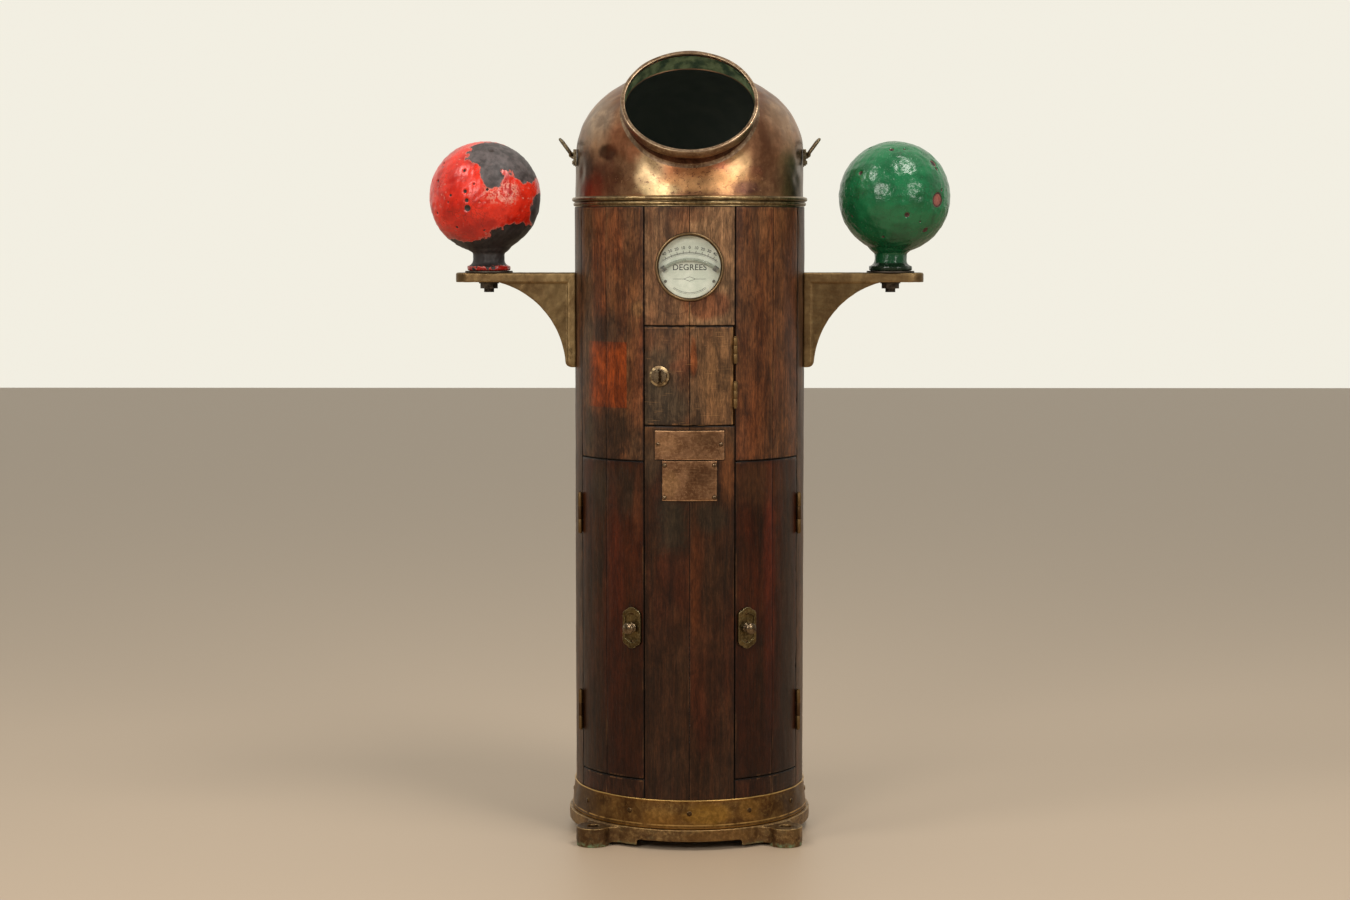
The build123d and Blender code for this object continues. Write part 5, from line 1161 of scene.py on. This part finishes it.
def neck_mesh():
    """The window's tube, with a flange of solder where it meets the hood."""
    turns = np.linspace(0, 2 * math.pi, 360, endpoint=False)
    way = np.cos(turns)[:, None] * SIDE + np.sin(turns)[:, None] * UP
    outer, inner = 0.103, 0.101
    top = -0.0081
    rings = []
    for extra, rise in ((0.0052, 0.0003), (0.0034, 0.0007), (0.0018, 0.0014), (0.0008, 0.0026),
                        (0.0002, 0.0042)):
        t = meet_dome(turns, outer + extra)
        rings.append(CENTRE + way * (outer + extra) + t[:, None] * AXIS + AXIS * rise * 0.5)
    start = meet_dome(turns, outer) + 0.0055
    for f in np.linspace(0, 1, 12):
        t = start * (1 - f) + top * f
        rings.append(CENTRE + way * outer + np.minimum(t, top)[:, None] * AXIS)
    rings.append(CENTRE + way * inner + top * AXIS)
    low_edge = meet_dome(turns, inner) - 0.002
    for f in np.linspace(0.1, 1, 8):
        t = top * (1 - f) + low_edge * f
        rings.append(CENTRE + way * inner + t[:, None] * AXIS)
    verts = np.concatenate(rings)
    mesh = make_mesh("neck", verts, grid_faces(len(rings), len(turns), closed=True))
    return smooth_by_angle(edited(mesh, face_outwards), 50)


neck = piece("window_tube", neck_mesh(), "hood", "copper", neck_copper, "window_neck")
neck.data.materials.append(verdigris_inside)
neck.data.materials.append(bezel_brass)
for polygon in neck.data.polygons:
    c = np.array(polygon.center) - CENTRE
    rho = math.hypot(c @ SIDE, c @ UP)
    if rho < 0.1018:
        polygon.material_index = 1
    elif rho > 0.1040:
        polygon.material_index = 2

bezel_profile = [(0.1031, -0.0150), (0.1052, -0.0150), (0.1062, -0.0144), (0.1066, -0.0132),
                 (0.1066, -0.0030), (0.1064, -0.0016), (0.1058, -0.0006), (0.1050, -0.0001), (0.1040, 0.0),
                 (0.1022, -0.0003), (0.1014, -0.0002), (0.1006, -0.0003), (0.0999, -0.0010),
                 (0.0996, -0.0020), (0.0996, -0.0031), (0.1023, -0.0031), (0.1023, -0.0079),
                 (0.1031, -0.0079)]
bezel = lathe(bezel_profile, WINDOW_CENTRE - WINDOW_AXIS * 0.0007, WINDOW_AXIS, WINDOW_SIDE, 256,
              closed=True)
p = points_of(bezel)
gap = p - CENTRE
rho = np.hypot(gap @ SIDE, gap @ UP)
way = (gap - (gap @ AXIS)[:, None] * AXIS) / rho[:, None]
set_points(bezel, p - way * (0.00025 * (1 + ripple(p, 0.05, 15)) * (rho > 0.1035))[:, None])
bezel.set_sharp_from_angle(angle=math.radians(42))
piece("window_hoop", bezel, "hood", "brass", bezel_brass, "window_bezel")
dress(dark_glass, "window_glass")
piece("handle_lugs", cast("handle_eyes", 0.00045, 3, 0.00006, 0.004, 3), "hood", "brass", handle_brass,
      "handle_eyes")
dress(handle_brass, "left_handle", "right_handle")

# ---- brackets and spheres ------------------------------------------------------------------
for side, seed in (("left", 6), ("right", 7)):
    piece(f"{side}_arm", cast(f"{side}_bracket", 0.0011, 4, 0.0001, 0.01, seed), "stand", "cast_brass",
          bracket_brass, f"{side}_bracket")
piece("arm_bolts", rounded("bracket_bolts", 0.0007), "stand", "steel", iron, "bracket_bolts")
for side in ("left", "right"):
    piece(f"{side}_stud", rounded(f"{side}_sphere_stud", 0.0006), f"{side}_ball", "steel", iron,
          f"{side}_sphere_stud")


def field_from(points, blobs, seed):
    """Above 0 where the paint is gone: blobs are (centre, reach) in sphere radii."""
    value = np.full(len(points), -1.0)
    for centre, reach in blobs:
        gap = (points - np.array(centre)) / np.array(reach)
        value = np.maximum(value, 1 - np.sqrt((gap ** 2).sum(1)))
    return value + 0.066 * (ripple(points, 0.42, seed) + ripple(points, 0.16, seed + 1))


def pits_from(points, pits):
    """How deep the pits are, 0 to 1, and how dark they look: wide ones are dark only at their rims."""
    depth, dark = np.zeros(len(points)), np.zeros(len(points))
    for u, v, size in pits:
        centre = np.array([u, -math.sqrt(max(0.0, 1 - u * u - v * v)), v])
        gap = np.linalg.norm(points - centre, axis=1) / size
        depth = np.maximum(depth, np.clip(1.25 - gap, 0, 1))
        dark = np.maximum(dark, np.clip(1.25 - gap, 0, 1)
                          if size < 0.1 else np.clip(1 - np.abs(gap - 0.72) / 0.16, 0, 1))
    return depth, dark


def ball(node, body, slot, material, centre_x, blobs, pits, extra, seed, depth, lump):
    mesh = modified(copy_of(node), [("REMESH", {"mode": "VOXEL", "voxel_size": 0.0013}),
                                    ("SMOOTH", {"iterations": 6, "factor": 0.5})])
    p, n = points_of(mesh), normals_of(mesh)
    unit = (p - np.array([centre_x, 0, SPHERE_Z])) / SPHERE_R
    bare = field_from(unit, blobs, seed)
    if extra is not None:
        bare = np.maximum(bare, extra(p))
    pit, dark = pits_from(unit, pits)
    bare = np.maximum(bare, pit * 2 - 0.9)
    skin = 0.00018 * (ripple(p, 0.012, seed + 4) - 1.4) + lump * (ripple(p, 0.05, seed + 5) - 1.2)
    step = -depth * np.clip(bare * 8, 0, 1) - 0.0022 * pit
    set_points(mesh, p + n * (skin + step)[:, None])
    for name, values in (("bare", bare), ("deep", dark)):
        attribute = mesh.attributes.new(name, "FLOAT", "POINT")
        attribute.data.foreach_set("value", values.astype(np.float32))
    mesh.shade_smooth()
    piece(body + "_iron", mesh, body, slot, material, node)


RED_BARE = (((0.30, -0.55, 0.74), (0.56, 0.70, 0.30)), ((0.20, -0.90, 0.38), (0.20, 0.5, 0.26)),
            ((0.72, -0.25, 0.52), (0.26, 0.8, 0.30)),
            ((0.58, -0.35, -0.76), (0.52, 0.9, 0.30)), ((0.10, -0.3, -0.98), (0.60, 0.9, 0.26)),
            ((0.97, -0.15, -0.28), (0.16, 0.5, 0.34)),
            ((-0.50, -0.1, -0.86), (0.30, 0.5, 0.12)), ((0.1, 0.75, 0.55), (0.5, 0.4, 0.4)),
            ((-0.6, 0.7, -0.3), (0.4, 0.4, 0.35)),
            ((0.6, 0.75, -0.1), (0.35, 0.4, 0.4)), ((0.16, -0.55, 0.85), (0.2, 0.3, 0.12)))
RED_PITS = ((-0.30, 0.46, 0.035), (-0.28, 0.09, 0.040), (-0.25, -0.07, 0.045), (-0.24, -0.21, 0.075),
            (-0.80, 0.28, 0.035), (-0.82, -0.29, 0.035), (-0.985, -0.05, 0.055), (0.16, 0.83, 0.07),
            (-0.92, 0.30, 0.035), (-0.55, 0.02, 0.03), (-0.60, -0.10, 0.02), (0.12, 0.12, 0.03),
            (-0.12, 0.22, 0.02), (-0.45, -0.55, 0.03), (0.05, -0.6, 0.02), (-0.70, 0.60, 0.03))
GREEN_BARE = (((0.0, 0.5, -0.9), (0.4, 0.4, 0.2)), ((-0.5, 0.8, 0.2), (0.12, 0.2, 0.16)),
              ((0.4, 0.85, 0.3), (0.14, 0.2, 0.10)))
GREEN_PITS = ((0.72, -0.06, 0.165), (0.655, 0.60, 0.085), (0.71, 0.50, 0.045), (-0.10, 0.84, 0.05),
              (0.15, -0.33, 0.055), (0.51, -0.60, 0.065), (-0.66, 0.42, 0.05), (0.13, 0.85, 0.03),
              (0.42, 0.90, 0.03), (0.80, 0.12, 0.03), (-0.45, 0.88, 0.03), (0.40, -0.45, 0.02),
              (-0.25, -0.72, 0.03), (-0.8, -0.35, 0.03))


FLANGE_TOP, NECK_BARE_BELOW = 0.9075, 0.930


def red_stem(p):
    """Bare iron on the red sphere's neck, and patchy paint on the flange under it."""
    above = p[:, 2] > FLANGE_TOP
    neck = np.clip((NECK_BARE_BELOW - p[:, 2]) / 0.006, -0.6, 0.8)
    flange = -0.35 + 0.35 * ripple(p, 0.01, 77)
    return np.where(above, neck, flange) + 0.15 * ripple(p, 0.012, 78)


ball("left_sphere", "left_ball", "red_paint", red_paint, -SPHERE_X, RED_BARE, RED_PITS, red_stem, 201,
     depth=0.0005, lump=0.00015)
ball("right_sphere", "right_ball", "green_paint", green_paint, SPHERE_X, GREEN_BARE, GREEN_PITS, None, 301,
     depth=0.0004, lump=0.00012)

# ---- fittings ------------------------------------------------------------------------------
for side in ("left", "right"):
    node, body = f"{side}_catch_plate", f"{side}_door_body"
    piece(node.replace("catch_plate", "escutcheon"), cast(node, 0.00035, 3, 0.00006, 0.005, 8), body,
          "brass_fittings", fitting_brass, node)
for node, body in (("left_catch_knob", "left_latch"), ("right_catch_knob", "right_latch"),
                   ("small_door_knob", "small_latch")):
    piece(node.replace("knob", "turn"), cast(node, 0.0004, 3), body, "brass_fittings", knob_brass, node)
piece("small_door_boss", rounded("small_door_rose", 0.0006, 3), "small_door_body", "brass_fittings",
      rose_brass, "small_door_rose")
for side in (-1, 1):
    screws = [screw_head(on_column(side * CATCH_ANGLE, COLUMN_R + 0.0028, CATCH_Z + dz),
                         outward(side * CATCH_ANGLE), 0.0029, 0.0014, 0.6 * side + dz * 30)
              for dz in (-0.0225, 0.0225)]
    name = "left" if side < 0 else "right"
    piece(f"{name}_escutcheon_screws", joined(screws), f"{name}_door_body", "brass_fittings", screw_brass)
for name, leaves, body, material in (
        ("fixed", "fixed_hinge_leaves", "stand", hinge_brass),
        ("small_door", "small_door_leaves", "small_door_body", hinge_brass),
        ("left_door", "left_door_leaves", "left_door_body", hinge_bronze),
        ("right_door", "right_door_leaves", "right_door_body", hinge_bronze)):
    piece(f"hinges_{name}", rounded(leaves, 0.0003), body, "brass_fittings", material, leaves)

sheets = []
SHEET_R = COLUMN_R + 0.00125
for half, bottom, top, seed in ((0.0542, 0.6085, 0.653, 5), (0.0426, 0.545, 0.6065, 9)):
    angle = math.degrees(half / COLUMN_R)
    sheets.append(slab(-angle, angle, bottom, top, SHEET_R, COLUMN_R + 0.00005, edge=0.0005, uneven=0.00016,
                       chips=0.0006, pitch=0.0016, seed=seed * 13))
piece("patch_sheets", joined(sheets), "stand", "copper_patch", patch_copper, "copper_patches")
rivets = []
for angle, height in RIVETS:
    rivets.append(lathe([(0.0027, 0.0)] + [(0.0027 * math.cos(t), 0.0003 + 0.0012 * math.sin(t))
                                           for t in np.linspace(0.1, 1.5, 8)] + [(0, 0.0015)],
                        on_column(angle, SHEET_R - 0.0001, height), outward(angle), (0, 0, 1), 24))
piece("patch_rivet_heads", joined(rivets), "stand", "copper_patch", rivet_copper, "patch_rivets")

# ---- clinometer ----------------------------------------------------------------------------
dress(inner_brass, "clinometer_case")
back_y = high("clinometer_bezel").y
ring_r = (high("clinometer_bezel").x - low("clinometer_bezel").x) / 2
CZ = dial_middle.z
ring_profile = [(ring_r - 0.003, 0.0), (ring_r, 0.0), (ring_r, 0.0040), (ring_r - 0.0004, 0.0052),
                (ring_r - 0.0012, 0.0060), (ring_r - 0.0022, 0.0062), (ring_r - 0.0032, 0.0058),
                (ring_r - 0.0040, 0.0046), (ring_r - 0.0052, 0.0026), (ring_r - 0.0053, 0.0),
                (ring_r - 0.003, 0.0)]
ring = lathe(ring_profile, (0, back_y, CZ), (0, -1, 0), (1, 0, 0), 160)
ring.set_sharp_from_angle(angle=math.radians(45))
piece("clinometer_hoop", ring, "stand", "brass", hoop_brass, "clinometer_bezel")
dress(dial_glass, "clinometer_glass")
dress(vial_glass, "clinometer_vial")
dress(bubble_look, "clinometer_bubble")
dress(dial_paint, "clinometer_dial")
dress(iron, "clinometer_fittings")
DIAL_Y = low("clinometer_dial").y
ARC_Z = 0.8497
INK = 0.00006


def text_mesh(text, size, centre, turn=0.0, normal="front", spread=1.0):
    """Flat lettering facing the front, or up for the compass card."""
    curve = bpy.data.curves.new("text", "FONT")
    curve.body = text
    curve.size = size
    curve.align_x = "CENTER"
    curve.align_y = "CENTER"
    curve.extrude = INK
    curve.offset = size * 0.018
    curve.space_character = spread
    helper = bpy.data.objects.new("text", curve)
    bpy.context.scene.collection.objects.link(helper)
    bpy.context.view_layer.update()
    mesh = bpy.data.meshes.new_from_object(helper.evaluated_get(bpy.context.evaluated_depsgraph_get()))
    bpy.data.objects.remove(helper)
    if normal == "front":
        upright = Matrix.Rotation(math.radians(90), 4, "X")
        mesh.transform(Matrix.Translation(centre) @ upright @ Matrix.Rotation(turn, 4, "Z"))
    else:
        mesh.transform(Matrix.Translation(centre) @ Matrix.Rotation(turn, 4, "Z"))
    return mesh


def printed_arc(radius, width, half_angle, count, centre_z, up):
    """A thin printed line round a centre on the dial, above it or below it."""
    turns = np.linspace(-math.radians(half_angle), math.radians(half_angle), count)
    verts = [(math.sin(t) * r, DIAL_Y - 2 * INK, centre_z + up * math.cos(t) * r)
             for r in (radius - width / 2, radius + width / 2) for t in turns]
    return make_mesh("arc", verts, grid_faces(2, count, flip=up > 0))


def printed_bar(centre_x, centre_z, along, across, size):
    """A short straight printed line on the dial."""
    return box_mesh((centre_x, DIAL_Y - INK, centre_z), along, across, size)


marks = []
arc_middle = ARC_Z + 0.0005
for degree in range(-50, 51):
    turn = math.radians(degree * 0.72)
    long = degree % 10 == 0
    inner_r, outer_r = 0.0748, (0.0790 if long else 0.0772 if degree % 5 == 0 else 0.0764)
    if abs(math.sin(turn) * outer_r) > 0.0425:
        continue
    way = Vector((math.sin(turn), 0, math.cos(turn)))
    centre = Vector((0, DIAL_Y - INK, arc_middle)) + way * (inner_r + outer_r) / 2
    marks.append(box_mesh(centre, (math.cos(turn), 0, -math.sin(turn)), way,
                          (0.00085 if long else 0.00050, 2 * INK, outer_r - inner_r)))
for radius, width in ((0.0748, 0.0005), (0.0732, 0.0003)):
    marks.append(printed_arc(radius, width, 35, 90, arc_middle, 1))
for degree in range(-40, 41, 10):
    turn = math.radians(degree * 0.70)
    way = Vector((math.sin(turn), 0, math.cos(turn)))
    place = Vector((0, DIAL_Y - 0.0001, arc_middle)) + way * 0.0832
    marks.append(text_mesh(str(abs(degree)), 0.0064, place, -turn))
marks.append(text_mesh("DEGREES", 0.0126, Vector((0, DIAL_Y - 0.0001, CZ - 0.0010)), 0, spread=1.04))
ORNAMENT_Z = CZ - 0.0185
for x in (-0.0170, 0.0170):
    marks.append(printed_bar(x, ORNAMENT_Z, (1, 0, 0), (0, 0, 1), (0.016, 2 * INK, 0.0006)))
diamond = [(-0.009, 0), (0, 0.0034), (0.009, 0), (0, -0.0034)]
for a, b in zip(diamond, diamond[1:] + diamond[:1]):
    way = Vector((b[0] - a[0], 0, b[1] - a[1]))
    marks.append(printed_bar((a[0] + b[0]) / 2, ORNAMENT_Z + (a[1] + b[1]) / 2, way,
                             Vector((0, -1, 0)).cross(way), (way.length, 2 * INK, 0.0006)))
for radius, width in ((0.0395, 0.0006), (0.0413, 0.0004)):
    marks.append(printed_arc(radius, width, 38, 60, CZ, -1))
piece("clinometer_marks", joined(marks), "stand", "dial", ink)

# ---- compass and what is inside ------------------------------------------------------------
dress(inner_brass, "gimbal_bearings", "gimbal_ring", "compass_bowl", "bowl_bezel", "heeling_tube",
      "heeling_bucket")
dress(card_paint, "compass_card")
dress(magnet_iron, "card_magnets", "corrector_magnets")
dress(dial_glass, "bowl_glass")
CARD_FACE = 1.0092
rose = []
for k in range(180):
    turn = math.radians(2 * k)
    way = Vector((math.sin(turn), math.cos(turn), 0))
    inner_r = 0.0900 if k % 5 == 0 else 0.0935
    rose.append(box_mesh(Vector((0, 0, CARD_FACE + INK)) + way * (inner_r + 0.0970) / 2, way, (0, 0, 1),
                         (0.0970 - inner_r, 0.0004, 2 * INK)))
for k in range(8):
    turn = math.radians(45 * k)
    way = Vector((math.sin(turn), math.cos(turn), 0))
    side = Vector((way.y, -way.x, 0))
    long = 0.064 if k % 2 == 0 else 0.046
    z = Vector((0, 0, CARD_FACE + 0.00015))
    rose.append(make_mesh("point", [z + way * 0.0135, z + way * long, z + way * 0.02 + side * 0.009],
                          [(0, 2, 1)], False))
for k, letter in enumerate(("N", "E", "S", "W")):
    turn = math.radians(90 * k)
    way = Vector((math.sin(turn), math.cos(turn), 0))
    rose.append(text_mesh(letter, 0.016, Vector((0, 0, CARD_FACE + 0.0001)) + way * 0.077, -turn, "up"))
piece("card_marks", joined(rose), "card", "card", ink)

# ---- floor and light -----------------------------------------------------------------------
floor_mesh = make_mesh("floor", [(-12, -12, 0), (12, -12, 0), (12, 12, 0), (-12, 12, 0)], [(0, 1, 2, 3)],
                       False)
floor = bpy.data.objects.new("floor", floor_mesh)
bpy.context.scene.collection.objects.link(floor)
pale = Shade("floor_pale")
floor_mesh.materials.append(pale.finish(tone(176, 156, 134), 0.5))

world = bpy.data.worlds.new("studio")
bpy.context.scene.world = world
world.use_nodes = True
sky = world.node_tree
way = sky.nodes.new("ShaderNodeTexCoord").outputs["Generated"]
parts = sky.nodes.new("ShaderNodeSeparateXYZ")
sky.links.new(way, parts.inputs[0])
behind = sky.nodes.new("ShaderNodeMapRange")
behind.interpolation_type = "SMOOTHSTEP"
behind.inputs["From Min"].default_value = -0.55
behind.inputs["From Max"].default_value = 0.65
behind.inputs["To Min"].default_value = 0.20
behind.inputs["To Max"].default_value = 1.0
sky.links.new(parts.outputs[1], behind.inputs["Value"])
sky.nodes["Background"].inputs[0].default_value = (0.89, 0.86, 0.76, 1)
sky.links.new(behind.outputs[0], sky.nodes["Background"].inputs[1])


def lamp(name, place, target, size, power, colour=(1.0, 0.96, 0.9)):
    data = bpy.data.lights.new(name, "AREA")
    data.shape = "DISK"
    data.size = size
    data.energy = power
    data.color = colour
    obj = bpy.data.objects.new(name, data)
    obj.location = place
    obj.rotation_euler = (Vector(target) - Vector(place)).to_track_quat("-Z", "Y").to_euler()
    bpy.context.scene.collection.objects.link(obj)


lamp("key", (-1.25, -2.65, 1.75), (0, 0, 0.8), 1.1, 34)
lamp("fill", (2.05, -2.45, 1.75), (0, 0, 0.8), 1.1, 28)
lamp("top", (1.05, -1.0, 3.4), (0, 0, 0.9), 1.1, 46)
lamp("top_left", (-2.1, -1.2, 3.3), (0, 0, 0.9), 0.9, 34)

bpy.context.scene.view_settings.view_transform = "Standard"
